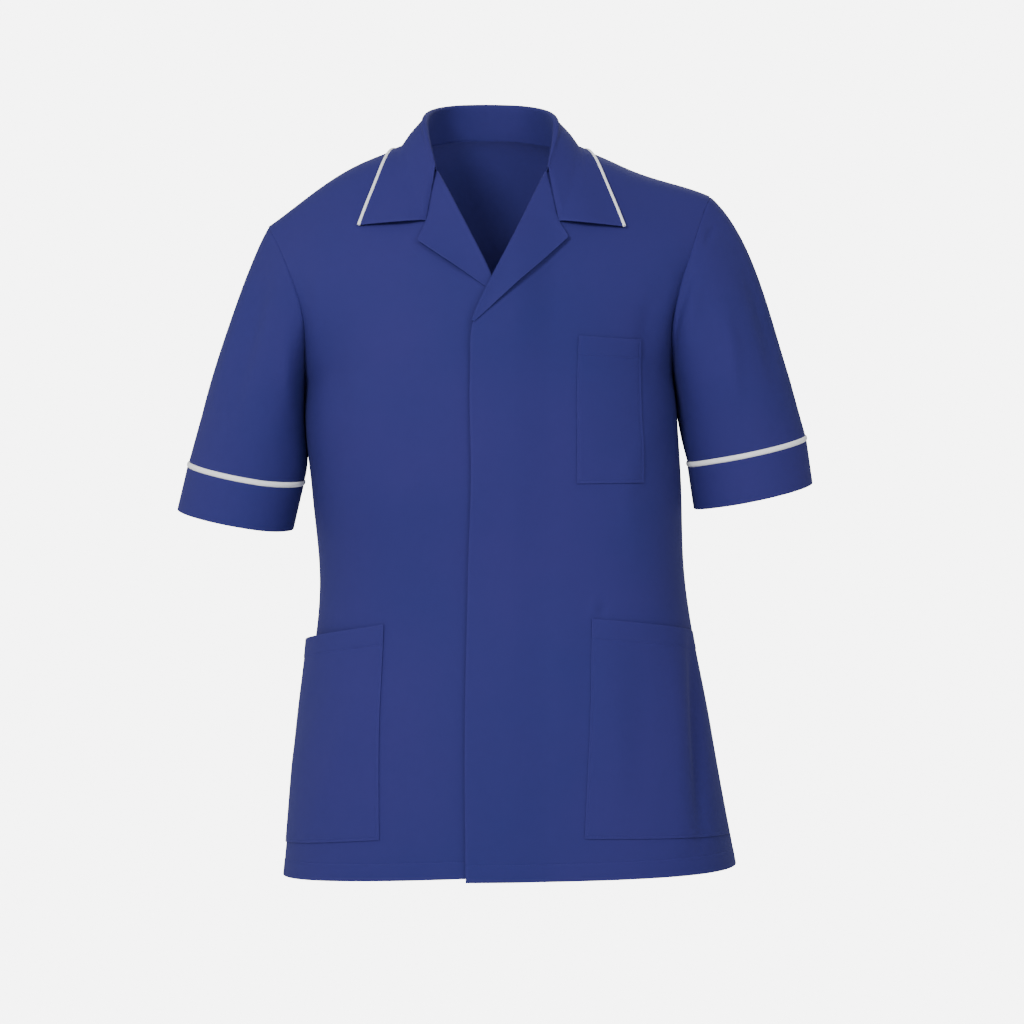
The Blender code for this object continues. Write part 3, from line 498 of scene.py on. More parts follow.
# Line of each fold in the view that it faces, its width and its depth.
FOLD_TABLE = {
    Facing.FRONT: (
        (((0.206, -0.128), (0.197, -0.164), (0.188, -0.196), (0.186, -0.238)), 0.0050, -0.0034),
        (((0.190, -0.136), (0.180, -0.183), (0.176, -0.242)), 0.0090, 0.0016),
        (((0.216, -0.136), (0.206, -0.178), (0.200, -0.232)), 0.0080, 0.0022),
        (((0.163, -0.160), (0.158, -0.205), (0.162, -0.260)), 0.0085, -0.0014),
        (((-0.168, -0.120), (-0.178, -0.180), (-0.182, -0.250)), 0.0090, 0.0016),
        (((-0.240, -0.125), (-0.260, -0.195), (-0.284, -0.280)), 0.0075, 0.0038),
        (((-0.226, -0.140), (-0.244, -0.210), (-0.262, -0.290)), 0.0085, -0.0038),
        (((-0.204, -0.190), (-0.206, -0.235), (-0.203, -0.285)), 0.0070, 0.0016),
        (((0.262, -0.130), (0.280, -0.190), (0.292, -0.255)), 0.0085, -0.0030),
        (((0.236, -0.170), (0.246, -0.225), (0.250, -0.290)), 0.0090, 0.0028),
        (((-0.160, -0.200), (-0.150, -0.270), (-0.160, -0.340)), 0.0120, -0.0014),
        (((0.170, -0.290), (0.140, -0.350), (0.150, -0.430)), 0.0140, 0.0018),
        (((0.207, -0.495), (0.209, -0.600), (0.214, -0.725)), 0.0075, -0.0070),
        (((0.188, -0.495), (0.190, -0.620), (0.195, -0.735)), 0.0120, 0.0024),
        (((0.112, -0.470), (0.124, -0.580), (0.130, -0.690)), 0.0170, 0.0016),
        (((0.150, -0.500), (0.152, -0.600), (0.146, -0.700)), 0.0150, -0.0014),
        (((0.109, -0.489), (0.113, -0.482), (0.118, -0.474)), 0.0040, -0.0012),
        (((0.100, -0.487), (0.104, -0.477), (0.112, -0.466)), 0.0050, 0.0008),
        (((-0.130, -0.560), (-0.150, -0.620), (-0.180, -0.700)), 0.0120, 0.0022),
        (((-0.165, -0.540), (-0.190, -0.600), (-0.212, -0.640)), 0.0110, -0.0018),
        (((-0.100, -0.330), (-0.090, -0.420), (-0.110, -0.520)), 0.0180, 0.0014),
        (((0.060, -0.400), (0.075, -0.520), (0.070, -0.660)), 0.0200, 0.0012),
        (((0.233, -0.088), (0.226, -0.100), (0.220, -0.112)), 0.0045, -0.0016),
    ),
    Facing.BACK: (
        (((0.186, -0.130), (0.172, -0.200), (0.168, -0.280)), 0.0100, 0.0026),
        (((0.160, -0.160), (0.148, -0.230), (0.146, -0.310)), 0.0110, -0.0022),
        (((-0.184, -0.120), (-0.170, -0.190), (-0.172, -0.270)), 0.0090, 0.0024),
        (((-0.155, -0.180), (-0.140, -0.260), (-0.150, -0.340)), 0.0130, -0.0020),
        (((0.120, -0.380), (0.050, -0.420), (-0.030, -0.405)), 0.0150, 0.0022),
        (((0.140, -0.425), (0.060, -0.462), (-0.020, -0.450)), 0.0140, -0.0018),
        (((-0.150, -0.400), (-0.090, -0.440), (-0.030, -0.455)), 0.0130, 0.0018),
        (((0.090, -0.520), (0.100, -0.630), (0.096, -0.740)), 0.0200, 0.0026),
        (((-0.060, -0.500), (-0.080, -0.620), (-0.078, -0.745)), 0.0180, -0.0022),
        (((-0.130, -0.540), (-0.150, -0.640), (-0.156, -0.740)), 0.0170, 0.0024),
        (((0.020, -0.060), (0.070, -0.075), (0.120, -0.110)), 0.0120, -0.0012),
    ),
}
FOLDS = tuple(Fold(facing, *row) for facing, rows in FOLD_TABLE.items() for row in rows)


@dataclass(frozen=True)
class Closing:
    """How far the left front stands out over the right one."""

    lift: float = 0.0040
    lift_at_break: float = 0.0034
    fade_x: tuple[float, float] = (0.020, 0.065)
    break_z: float = -0.165
    reach: float = 0.055
    hem_step: float = 0.0025
    hem_z: tuple[float, float] = (-0.750, -0.640)

    def raised(self, points: Array) -> Array:
        """Lift near the front edge, most at the break of the roll line and none far above it."""
        near = 1.0 - smooth_step(*self.fade_x, np.abs(points[..., 0]))
        top = self.break_z + self.reach
        near = near * (1.0 - smooth_step(top, top + self.reach, points[..., 2]))
        at_break = bell(points[..., 2] - self.break_z, self.reach)
        return near * (self.lift + self.lift_at_break * at_break)

    def hem_drop(self, points: Array, across: Array, side: Side) -> Array:
        """Step between the two fronts at the hem: the left one hangs a little lower."""
        low = 1.0 - smooth_step(*self.hem_z, points[..., 2])
        return -side.value * self.hem_step * low * (1.0 - across) ** 2


@dataclass(frozen=True)
class TunicForm:
    """The whole tunic's form: panels, closing, neck seam, pose and drape."""

    front: Panel = FRONT
    back: Panel = BACK
    closing: Closing = Closing()
    pose: Pose = Pose()
    drape: Drape = Drape(FOLDS)
    neck_side_x: float = 0.075
    shoulder_x: float = 0.230
    shoulder_z: float = -0.074
    panel_width: float = 0.27
    ridge_normal: tuple[float, float, float] = (0.430, 0.000, 0.903)
    side_blend: float = 0.90
    shoulder_blend: float = 0.95
    collar_at_shoulder: float = 0.56
    search: int = 60
    search_steps: int = 6

    @property
    def neck_across(self) -> float:
        """Where the neck seam meets the shoulder seam, across the back."""
        return self.neck_side_x / self.shoulder_x

    def back_top(self, across: Array) -> Array:
        """How far up the back reaches: to the oval neck seam, and beside it the shoulder seam."""
        inside = np.clip(1.0 - (across / self.neck_across) ** 2, 0.0, 1.0)
        return 1.0 - (1.0 - self.back.level("neck")) * np.sqrt(inside)

    def neck_seam(self, u: Array) -> Array:
        """Neck seam on the wearer's left: from the centre back (0) past the shoulder to the gorge (1)."""
        behind = np.clip(u / self.collar_at_shoulder, 0.0, 1.0)
        across = self.neck_across * np.sin(behind * math.pi / 2)
        back = self.back.points(across, self.back_top(across))
        ahead = np.clip((u - self.collar_at_shoulder) / (1.0 - self.collar_at_shoulder), 0.0, 1.0)
        gorge = 1.0 - self.front.level("gorge")
        front = self.front.points(np.zeros_like(u), 1.0 - gorge * ahead)
        return np.where(u[..., None] <= self.collar_at_shoulder, back, front)

    def seam_normals(self, normals: Array, points: Array, across: Array, up: Array) -> Array:
        """Bring the normals of panels that meet at a seam together there."""
        low = smooth_step(self.side_blend, 1.0, across) * (points[..., 2] < UNDERARM_Z + PROBE)
        normals = normals * (1 - low[..., None]) + np.array((1.0, 0.0, 0.0)) * low[..., None]
        past_neck = points[..., 0] > self.neck_side_x - PROBE
        high = smooth_step(self.shoulder_blend, 1.0, up) * past_neck
        normals = normals * (1 - high[..., None]) + np.array(self.ridge_normal) * high[..., None]
        return unit(normals)

    def front_surface(self, side: Side, across: Array, up: Array) -> tuple[Array, Array]:
        """Upright points and normals of a front's outside, lap included."""
        points = self.front.points(across, up)
        normals = self.seam_normals(self.front.normals(across, up), points, across, up)
        points[..., 2] += self.closing.hem_drop(points, across, side)
        if side is Side.LEFT:
            points = points + normals * self.closing.raised(points)[..., None]
        return points * side.mirror, normals * side.mirror

    def back_surface(self, side: Side, across: Array, up: Array) -> tuple[Array, Array]:
        """Upright points and normals of half of the back's outside."""
        points = self.back.points(across, up)
        normals = self.seam_normals(self.back.normals(across, up), points, across, up)
        return points * side.mirror, normals * side.mirror

    def relief(self, points: Array, normals: Array, lowest: float = BELOW_ALL) -> Array:
        """How far the drape moves upright points out."""
        return self.drape.relief(self.pose.apply(points, lowest), normals)

    def placed(self, points: Array, normals: Array, lift: Array | float = 0.0,
               lowest: float = BELOW_ALL) -> Array:
        """Move upright points out by `lift` and the drape, and pose them.

        Args:
            points: Upright points.
            normals: Unit normals at the points.
            lift: Outward move, in metres.
            lowest: Level below which the pose no longer changes, as for the sleeves.

        Returns:
            The posed points.
        """
        out = (self.relief(points, normals, lowest) + lift)[..., None]
        return self.pose.apply(points + normals * out, lowest)

    def on_front(self, x: Array, z: Array) -> tuple[Array, Array]:
        """Find where points of the upright front view lie on the front form.

        The nearest of a grid of samples, and from there Newton's steps in the front view.

        Args:
            x: Distance from the middle.
            z: Height.

        Returns:
            Across and up of each point.
        """
        shape = np.shape(x)
        across, up = np.meshgrid(np.linspace(0, 1, self.search), np.linspace(0, 1, self.search))
        samples = self.front.points(across, up)[..., [0, 2]].reshape(-1, 2)
        want = np.stack((np.ravel(x), np.ravel(z)), axis=-1).astype(float)
        far = ((want ** 2).sum(axis=1)[:, None] - 2 * want @ samples.T + (samples ** 2).sum(axis=1))
        best = far.argmin(axis=1)
        across = across.ravel()[best]
        up = up.ravel()[best]
        step = PROBE
        for _ in range(self.search_steps):
            here = self.front.points(across, up)
            wide = (self.front.points(across + step, up) - here) / step
            high = (self.front.points(across, up - step) - here) / -step
            miss_x = want[:, 0] - here[:, 0]
            miss_z = want[:, 1] - here[:, 2]
            area = wide[:, 0] * high[:, 2] - wide[:, 2] * high[:, 0]
            across = np.clip(across + (miss_x * high[:, 2] - miss_z * high[:, 0]) / area, 0, 1 - step)
            up = np.clip(up + (miss_z * wide[:, 0] - miss_x * wide[:, 2]) / area, step, 1)
        return across.reshape(shape), up.reshape(shape)


def quads(ids: Array) -> Array:
    """Four-sided faces between the numbered points of a grid."""
    return np.stack((ids[:-1, :-1], ids[:-1, 1:], ids[1:, 1:], ids[1:, :-1]), axis=-1).reshape(-1, 4)


def grid_uv(grid: Array) -> Array:
    """Cloth coordinates of a grid in metres: distances run along its rows and its columns."""
    wide = np.linalg.norm(np.diff(grid, axis=1), axis=-1)
    high = np.linalg.norm(np.diff(grid, axis=0), axis=-1)
    u = np.pad(np.cumsum(wide, axis=1), ((0, 0), (1, 0)))
    v = np.pad(np.cumsum(high, axis=0), ((1, 0), (0, 0)))
    return np.stack((u - u.mean(axis=1, keepdims=True), v), axis=-1)


def add_mesh(name: str, points: Array, faces: Array, uvs: Array | None = None,
             wear: Array | None = None, sharp_degrees: float = 60.0) -> bpy.types.Object:
    """Put four-sided faces into one smooth-shaded mesh object, turned to point outward.

    Args:
        name: Name of the piece.
        points: Vertices.
        faces: Vertex numbers of each face.
        uvs: Cloth coordinates of each face's corners, in metres.
        wear: Share of the painted highlight along the edges, at each vertex.
        sharp_degrees: Angle above which an edge stays sharp.

    Returns:
        The object, at the origin.
    """
    a, b, c, d = (points[faces[:, corner]] for corner in range(4))
    volume = np.einsum("ij,ij->i", a, np.cross(b, c)) + np.einsum("ij,ij->i", a, np.cross(c, d))
    if volume.sum() < 0:
        faces = faces[:, ::-1]
        uvs = None if uvs is None else uvs[:, ::-1]
    mesh = bpy.data.meshes.new(name)
    mesh.from_pydata(points.tolist(), [], faces.tolist())
    if uvs is not None:
        layer = mesh.uv_layers.new(name="UVMap")
        layer.data.foreach_set("uv", np.ascontiguousarray(uvs, dtype=np.float32).ravel())
    # The share of the painted highlight goes to the material as a vertex attribute.
    if wear is not None:
        values = mesh.attributes.new("wear", "FLOAT", "POINT")
        values.data.foreach_set("value", np.ascontiguousarray(wear, dtype=np.float32).ravel())
    mesh.shade_smooth()
    mesh.set_sharp_from_angle(angle=math.radians(sharp_degrees))
    piece = bpy.data.objects.new(name, mesh)
    bpy.context.scene.collection.objects.link(piece)
    return piece


def shell(name: str, outer: Array, inner: Array, wear: Array,
          closed: bool = False) -> bpy.types.Object:
    """Closed wall between an outer and an inner grid of points.

    Args:
        name: Name of the piece.
        outer: Grid of points on the outside.
        inner: The matching grid on the inside.
        wear: Share of the painted highlight along the edges, at each grid point.
        closed: Whether the last column joins the first, as round a sleeve.

    Returns:
        The object.
    """
    rows, columns = outer.shape[:2]
    count = rows * columns
    ids = np.arange(count).reshape(rows, columns)
    marked = outer
    if closed:
        ids = np.hstack((ids, ids[:, :1]))
        marked = np.hstack((outer, outer[:, :1]))
    uv = grid_uv(marked).reshape(-1, 2)
    marks = np.arange(ids.size).reshape(ids.shape)
    edges = [(ids[0], marks[0]), (ids[-1, ::-1], marks[-1, ::-1])]
    if not closed:
        edges += [(ids[::-1, 0], marks[::-1, 0]), (ids[:, -1], marks[:, -1])]
    faces = [quads(ids), quads(ids)[:, ::-1] + count]
    corners = [quads(marks), quads(marks)[:, ::-1]]
    for edge, mark in edges:
        faces.append(np.stack((edge[:-1], edge[:-1] + count, edge[1:] + count, edge[1:]), axis=-1))
        corners.append(np.stack((mark[:-1], mark[:-1], mark[1:], mark[1:]), axis=-1))
    points = np.concatenate((outer.reshape(-1, 3), inner.reshape(-1, 3)))
    both = np.concatenate((wear.ravel(), wear.ravel()))
    return add_mesh(name, points, np.concatenate(faces), uv[np.concatenate(corners)], both)


def tube(name: str, rings: Array, ends: bool = False) -> bpy.types.Object:
    """Piping or cord: rows run lengthways and close round it; `ends` caps its two ends."""
    rows, columns = rings.shape[:2]
    ids = np.arange(rows * columns).reshape(rows, columns)
    caps = []
    if ends:
        half = rows // 2
        for column in (ids[:, 0], ids[::-1, -1]):
            low, high = column[:half], column[::-1][:half]
            caps.append(np.stack((low[:-1], low[1:], high[1:], high[:-1]), axis=-1))

    def wrapped(grid: Array) -> Array:
        """Grid with its first row again after the last, and so with its columns without ends."""
        grid = np.concatenate((grid, grid[:1]))
        return grid if ends else np.concatenate((grid, grid[:, :1]), axis=1)

    ids = wrapped(ids)
    marks = np.arange(ids.size).reshape(ids.shape)
    faces = np.concatenate([quads(ids), *caps])
    corners = np.concatenate([quads(marks), *(np.zeros_like(cap) for cap in caps)])
    uv = grid_uv(wrapped(rings)).reshape(-1, 2)
    return add_mesh(name, rings.reshape(-1, 3), faces, uv[corners])


@dataclass(frozen=True)
class Stitching:
    """A row of stitches, each a small rounded bar that dips into the cloth at its ends."""

    pitch: float = 0.0031
    length: float = 0.0023
    thickness: float = 0.00050
    sides: int = 6
    stations: tuple[tuple[float, float, float], ...] = (
        (-0.50, 0.35, -0.6), (-0.30, 1.0, 0.0), (0.30, 1.0, 0.0), (0.50, 0.35, -0.6))

    def bars(self, line: Array, normals: Array) -> Array:
        """Points of all bars along a line.

        Each bar's rings are circles across the line's direction, at the stations along it.

        Args:
            line: Points of the line on the cloth, close together.
            normals: The cloth's unit normals there.

        Returns:
            Points by bar, ring and side.
        """
        places = run_lengths(line)
        at = np.arange(self.pitch, places[-1] - self.pitch / 2, self.pitch)
        half = self.length / 2
        ahead = unit(read_line(at + half, places, line) - read_line(at - half, places, line))
        out = unit(read_line(at, places, normals))
        beside = unit(np.cross(ahead, out))
        turn = full_turn(self.sides)[:, None]
        circle = beside[:, None] * np.cos(turn) + out[:, None] * np.sin(turn)
        rings = []
        for along, width, dip in self.stations:
            radius = self.thickness / 2 * width
            centre = read_line(at, places, line) + ahead * self.length * along
            centre = centre + out * self.thickness / 2 * dip
            rings.append(centre[:, None] + circle * radius)
        return np.stack(rings, axis=1)

    def piece(self, name: str, runs: Sequence[tuple[Array, Array]]) -> bpy.types.Object:
        """One mesh of all bars along several lines."""
        bars = np.concatenate([self.bars(line, normals) for line, normals in runs])
        rings = len(self.stations)
        one = np.arange(rings * self.sides).reshape(rings, self.sides)
        sides = quads(np.hstack((one, one[:, :1])))
        # Two four-sided faces close a ring of six points.
        cap = np.array(((0, 3, 2, 1), (0, 5, 4, 3)))
        last = one[-1, 0]
        faces = np.concatenate((sides, cap, cap[:, ::-1] + last))
        steps = np.arange(len(bars)) * one.size
        return add_mesh(name, bars.reshape(-1, 3), (faces + steps[:, None, None]).reshape(-1, 4))


class NodeDesk:
    """A new material's node tree, with short ways to add and join nodes."""

    def __init__(self, name: str) -> None:
        """Make the material and find its shader."""
        self.material = bpy.data.materials.new(name)
        self.material.use_nodes = True
        self.tree = self.material.node_tree
        self.shader = self.tree.nodes["Principled BSDF"]

    def add(self, kind: str, settings: dict | None = None, **inputs: object) -> bpy.types.Node:
        """Add a node, set its properties, and set or join its inputs.

        Args:
            kind: Blender's name of the node type.
            settings: Properties of the node.
            **inputs: Value or output socket for each input, its name's spaces as underscores.

        Returns:
            The node.
        """
        node = self.tree.nodes.new(kind)
        for key, value in (settings or {}).items():
            setattr(node, key, value)
        for key, value in inputs.items():
            self.put(node, key.replace("_", " "), value)
        return node

    def put(self, node: bpy.types.Node, name: str | int, value: object) -> None:
        """Set or join one input of a node."""
        if isinstance(value, bpy.types.NodeSocket):
            self.tree.links.new(value, node.inputs[name])
        else:
            node.inputs[name].default_value = value

    def cloth_place(self, pitch: float) -> bpy.types.NodeSocket:
        """Cloth coordinates counted in steps of `pitch` metres."""
        uv = self.add("ShaderNodeUVMap", {"uv_map": "UVMap"})
        scaled = self.add("ShaderNodeVectorMath", {"operation": "SCALE"}, Scale=1.0 / pitch)
        self.put(scaled, 0, uv.outputs[0])
        return scaled.outputs[0]

    def noise(self, place: bpy.types.NodeSocket, scale: float, detail: float) -> bpy.types.NodeSocket:
        """Noise at a place, about 0.5 on average."""
        return self.add("ShaderNodeTexNoise", Vector=place, Scale=scale, Detail=detail).outputs[0]

    def mixed_colour(self, share: bpy.types.NodeSocket, low: object,
                     high: object) -> bpy.types.NodeSocket:
        """Colour between two, by a share."""
        node = self.add("ShaderNodeMix", {"data_type": "RGBA"})
        for place, value in zip(MIX_COLOUR_INPUTS, (share, low, high)):
            self.put(node, place, value)
        return node.outputs[MIX_COLOUR_OUTPUT]

    def sum_of(self, first: bpy.types.NodeSocket, weight: float,
               second: bpy.types.NodeSocket | float) -> bpy.types.NodeSocket:
        """First times weight plus second."""
        node = self.add("ShaderNodeMath", {"operation": "MULTIPLY_ADD"})
        self.put(node, 0, first)
        self.put(node, 1, weight)
        self.put(node, 2, second)
        return node.outputs[0]


@dataclass(frozen=True)
class ClothFinish:
    """Woven cloth: yarns, a twill line, slow shade changes and a painted highlight along the edges."""

    name: str
    shade: tuple[float, float, float]
    light: tuple[float, float, float]
    # Colour of the painted highlight along the edges.
    highlight_colour: tuple[float, float, float]
    roughness: float
    sheen: float
    sheen_tint: tuple[float, float, float]
    weave: float = 0.00055
    weave_depth: float = 0.00010
    crinkle: float = 0.010
    crinkle_depth: float = 0.00022
    shade_scale: float = 5.0
    # How far the edges are painted toward the highlight colour.
    highlight_strength: float = 0.12
    twill_scale: float = 0.62
    twill_distortion: float = 1.2
    twill_height: float = 0.6
    yarn_scale: float = 0.9
    yarn_height: float = 0.4
    yarn_shade: float = 0.45
    slow_shade: tuple[float, float] = (0.9, -0.2)
    rough_swing: float = 0.12
    weave_strength: float = 0.7
    crinkle_strength: float = 0.5
    sheen_roughness: float = 0.45
    specular: float = 0.18

    def material(self) -> bpy.types.Material:
        """Build the node material.

        The twill is a diagonal wave on the cloth's own coordinates, broken by noise of the same
        size. Slow noise on the piece's position changes the shade, and the edges are lightened
        toward the highlight colour: a painted highlight.
        """
        desk = NodeDesk(self.name)
        place = desk.cloth_place(self.weave)
        twill = desk.add("ShaderNodeTexWave", {"bands_direction": "DIAGONAL"}, Vector=place,
                         Scale=self.twill_scale, Distortion=self.twill_distortion, Detail=1.0)
        yarn = desk.noise(place, self.yarn_scale, 2.0)
        where = desk.add("ShaderNodeTexCoord").outputs["Object"]
        slow = desk.noise(where, self.shade_scale, 3.0)
        share = desk.sum_of(yarn, self.yarn_shade, desk.sum_of(slow, *self.slow_shade))
        colour = desk.mixed_colour(share, (*self.shade, 1.0), (*self.light, 1.0))
        # Painted highlight: the vertex share along each piece's edges mixes the colour toward the
        # highlight colour.
        wear = desk.add("ShaderNodeAttribute", {"attribute_name": "wear"})
        amount = desk.sum_of(wear.outputs["Fac"], self.highlight_strength, 0.0)
        wrinkle = desk.noise(desk.cloth_place(self.crinkle), 1.0, 2.0)
        soft = desk.add("ShaderNodeBump", Strength=self.crinkle_strength,
                        Distance=self.crinkle_depth, Height=wrinkle)
        height = desk.sum_of(twill.outputs["Fac"], self.twill_height,
                             desk.sum_of(yarn, self.yarn_height, 0.0))
        fine = desk.add("ShaderNodeBump", Strength=self.weave_strength,
                        Distance=self.weave_depth, Height=height, Normal=soft.outputs[0])
        looks = {
            "Base Color": desk.mixed_colour(amount, colour, (*self.highlight_colour, 1.0)),
            "Roughness": desk.sum_of(yarn, self.rough_swing, self.roughness - self.rough_swing / 2),
            "Normal": fine.outputs[0],
            "Sheen Weight": self.sheen,
            "Sheen Roughness": self.sheen_roughness,
            "Sheen Tint": (*self.sheen_tint, 1.0),
            "Specular IOR Level": self.specular,
        }
        for name, value in looks.items():
            desk.put(desk.shader, name, value)
        return desk.material


# The third colour of each finish is its painted highlight along the edges.
TWILL = ClothFinish("blue twill", (0.0158, 0.0205, 0.129), (0.0308, 0.0234, 0.151),
                    (0.041, 0.040, 0.200), 0.78, 0.04, (0.35, 0.42, 1.0))
PIPING = ClothFinish("white piping", (0.92, 0.93, 0.95), (0.96, 0.965, 0.98), (0.96, 0.965, 0.98),
                     0.62, 0.10, (1.0, 1.0, 1.0), weave=0.0007, crinkle_depth=0.0001)
THREAD = ClothFinish("blue thread", (0.024, 0.025, 0.155), (0.034, 0.031, 0.185), (0.05, 0.05, 0.23),
                     0.60, 0.05, (0.35, 0.42, 1.0), weave=0.0003)


@dataclass(frozen=True)
class Cut:
    """Flat size of what shows of a piece of cloth, as it was cut, and how it is held."""

    width: float
    length: float
    area: float
    held: str = "draped"


@dataclass
class Wardrobe:
    """The finishes, and the one way in which pieces are dressed."""

    materials: dict[str, bpy.types.Material]

    @classmethod
    def made(cls, finishes: Sequence[ClothFinish]) -> Wardrobe:
        """Build the material of each finish."""
        return cls({finish.name: finish.material() for finish in finishes})

    def dress(self, piece: bpy.types.Object, finish: ClothFinish, slot: Slot,
              node: str | None = None, cut: Cut | None = None) -> bpy.types.Object:
        """Give a piece its material and body, and hide the CAD part of its node.

        Args:
            piece: The finished mesh object.
            finish: Finish of its surface.
            slot: Slot of the record that the finish belongs to. Not used.
            node: CAD node that the piece stands for.
            cut: Flat size, where the piece is a sheet of cloth. Not used.

        Returns:
            The same piece.
        """
        piece.data.materials.append(self.materials[finish.name])
        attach(piece, BODY)
        if node is not None:
            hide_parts(node)
        log.info("%s: %d faces", piece.name, len(piece.data.polygons))
        return piece


@dataclass
class Surface:
    """A grid of places on the form, with what a wall or a line of stitches needs there."""

    form: TunicForm
    points: Array
    normals: Array
    lowest: float = BELOW_ALL

    def at(self, lift: Array | float) -> Array:
        """Posed points, moved out by `lift`."""
        return self.form.placed(self.points, self.normals, lift, self.lowest)

    def wall(self, name: str, low: Array | float, high: Array | float, ease: Array,
             wear: Array, closed: bool = False) -> bpy.types.Object:
        """Closed wall between two lifts, thinned by `ease` about its middle."""
        middle = (np.asarray(low) + high) / 2
        half = (np.asarray(high) - low) / 2 * ease
        return shell(name, self.at(middle + half), self.at(middle - half), wear, closed)

    def line(self, lift: Array | float) -> tuple[Array, Array]:
        """Posed points and normals of a line on the form, moved out by `lift`."""
        points = self.at(lift)
        return points, unit(self.at(lift + PROBE) - points)


@dataclass
class Body:
    """Fronts and back, with their hems."""

    form: TunicForm
    wardrobe: Wardrobe
    cloth: float = 0.0011
    hem_depth: float = 0.0205
    hem_cloth: float = 0.0006
    hem_proud: float = 0.0002
    groove: float = 0.00035
    groove_width: float = 0.0011
    groove_levels: tuple[float, int] = (2.0, 7)
    rim: float = 0.0009
    highlight_width: float = 0.0016
    front_rows: int = 180
    front_columns: int = 110
    back_rows: int = 150
    yoke_rows: int = 34
    yoke_drop: float = 0.035
    neck_columns: int = 26
    back_columns: int = 46
    stitch_line: tuple[float, float, int] = (0.01, 0.99, 160)
    height: float = 0.86
    front_cut: Cut = Cut(0.325, 0.800, 0.205)
    back_cut: Cut = Cut(0.600, 0.800, 0.402)

    def hem_levels(self, levels: Array) -> Array:
        """Add close rows at the hem's stitch line to the levels."""
        return close_levels(levels, (self.hem_depth,), self.height, self.groove_width,
                            *self.groove_levels)

    def highlight_at(self, share: Array, size: float) -> Array:
        """Painted highlight along an edge, by the distance to the nearer end of a range, for an edge of
        that size.
        """
        return bell(np.minimum(share - share.min(), share.max() - share) * size, self.highlight_width)

    def lifts(self, up: Array) -> tuple[Array, Array]:
        """Lowest and highest lift of the cloth: doubled at the hem, with a groove at its stitches."""
        height = up * self.height
        hem = 1.0 - smooth_step(self.hem_depth - HEM_EDGE, self.hem_depth + HEM_EDGE, height)
        groove = bell(height - self.hem_depth, self.groove_width) * self.groove
        return -self.cloth - hem * self.hem_cloth, hem * self.hem_proud - groove

    def build_front(self, side: Side) -> None:
        """Front panel, its inner edge free, its side and top edges at seams."""
        rim_up = self.rim / self.height
        rim_across = self.rim / self.form.panel_width
        up = self.hem_levels(edged_levels(self.front_rows, rim_up))
        across = edged_levels(self.front_columns, rim_across)
        ease = edge_ease(up, rim_up)[:, None] * edge_ease(across, rim_across)
        # Painted highlight along the panel's edges.
        highlight_across = self.highlight_at(across, self.form.panel_width)
        wear = np.maximum(self.highlight_at(up, self.height)[:, None], highlight_across)
        columns, rows = np.meshgrid(across, up)
        surface = Surface(self.form, *self.form.front_surface(side, columns, rows))
        low, high = self.lifts(rows)
        name = "front_" + side.word
        piece = surface.wall(name + "_cloth", low, high, ease, wear)
        self.wardrobe.dress(piece, TWILL, Slot.CLOTH, name, self.front_cut)

    def build_back(self) -> None:
        """Back panel in one piece, its top cut to the neck and shoulder seams."""
        neck = self.form.neck_across * np.sin(np.linspace(0, math.pi / 2, self.neck_columns))
        rim_across = self.rim / self.form.panel_width
        side = edged_levels(self.back_columns, rim_across, low=self.form.neck_across, at_low=False)
        half = np.concatenate((neck[:-1], side))
        columns = np.concatenate((-half[:0:-1], half))
        yoke = self.form.back.level("neck") - self.yoke_drop
        rim_up = self.rim / self.height
        low_rows = self.hem_levels(edged_levels(self.back_rows, rim_up, high=yoke, at_high=False))
        rim_top = self.rim / (self.height * (1.0 - yoke))
        share = edged_levels(self.yoke_rows, rim_top, at_low=False)[1:]
        top = self.form.back_top(np.abs(columns))
        high_rows = yoke + (top - yoke) * share[:, None]
        up = np.concatenate((low_rows[:, None] * np.ones_like(columns), high_rows))
        across = columns * np.ones_like(up)
        ease_low = edge_ease(low_rows, rim_up, at_high=False)
        ease_high = edge_ease(share, rim_top, at_low=False)
        ease_up = np.concatenate((ease_low, ease_high))
        ease = ease_up[:, None] * edge_ease(columns, rim_across)
        # Painted highlight along the hem and the sides.
        highlight_low = bell(low_rows * self.height, self.highlight_width)
        highlight_up = np.concatenate((highlight_low, np.zeros(len(share))))
        wear = np.maximum(highlight_up[:, None], self.highlight_at(columns, self.form.panel_width))
        points, normals = self.form.back_surface(Side.LEFT, np.abs(across), up)
        surface = Surface(self.form, points * mirrors(across), normals * mirrors(across))
        low, high = self.lifts(up)
        piece = surface.wall("back_cloth", low, high, ease, wear)
        self.wardrobe.dress(piece, TWILL, Slot.CLOTH, "back", self.back_cut)

    def build_stitching(self) -> None:
        """Hem stitches round the fronts and the back."""
        across = np.linspace(*self.stitch_line)
        up = np.full_like(across, self.hem_depth / self.height)
        runs = []
        for side in Side:
            for surface in (self.form.front_surface, self.form.back_surface):
                runs.append(Surface(self.form, *surface(side, across, up)).line(-self.groove))
        piece = Stitching().piece("hem_stitching", runs)
        self.wardrobe.dress(piece, THREAD, Slot.CLOTH)

    def build(self) -> None:
        """Build both fronts, the back and their stitches."""
        for side in Side:
            self.build_front(side)
        self.build_back()
        self.build_stitching()


@dataclass(frozen=True)
class SleeveForm:
    """Where a sleeve's piped seam lies, and how far out it leaves the shoulder and hangs."""

    side: Side
    seam_x: float
    seam_y: float
    seam_z: float
    cap_out: float
    hang_out: float


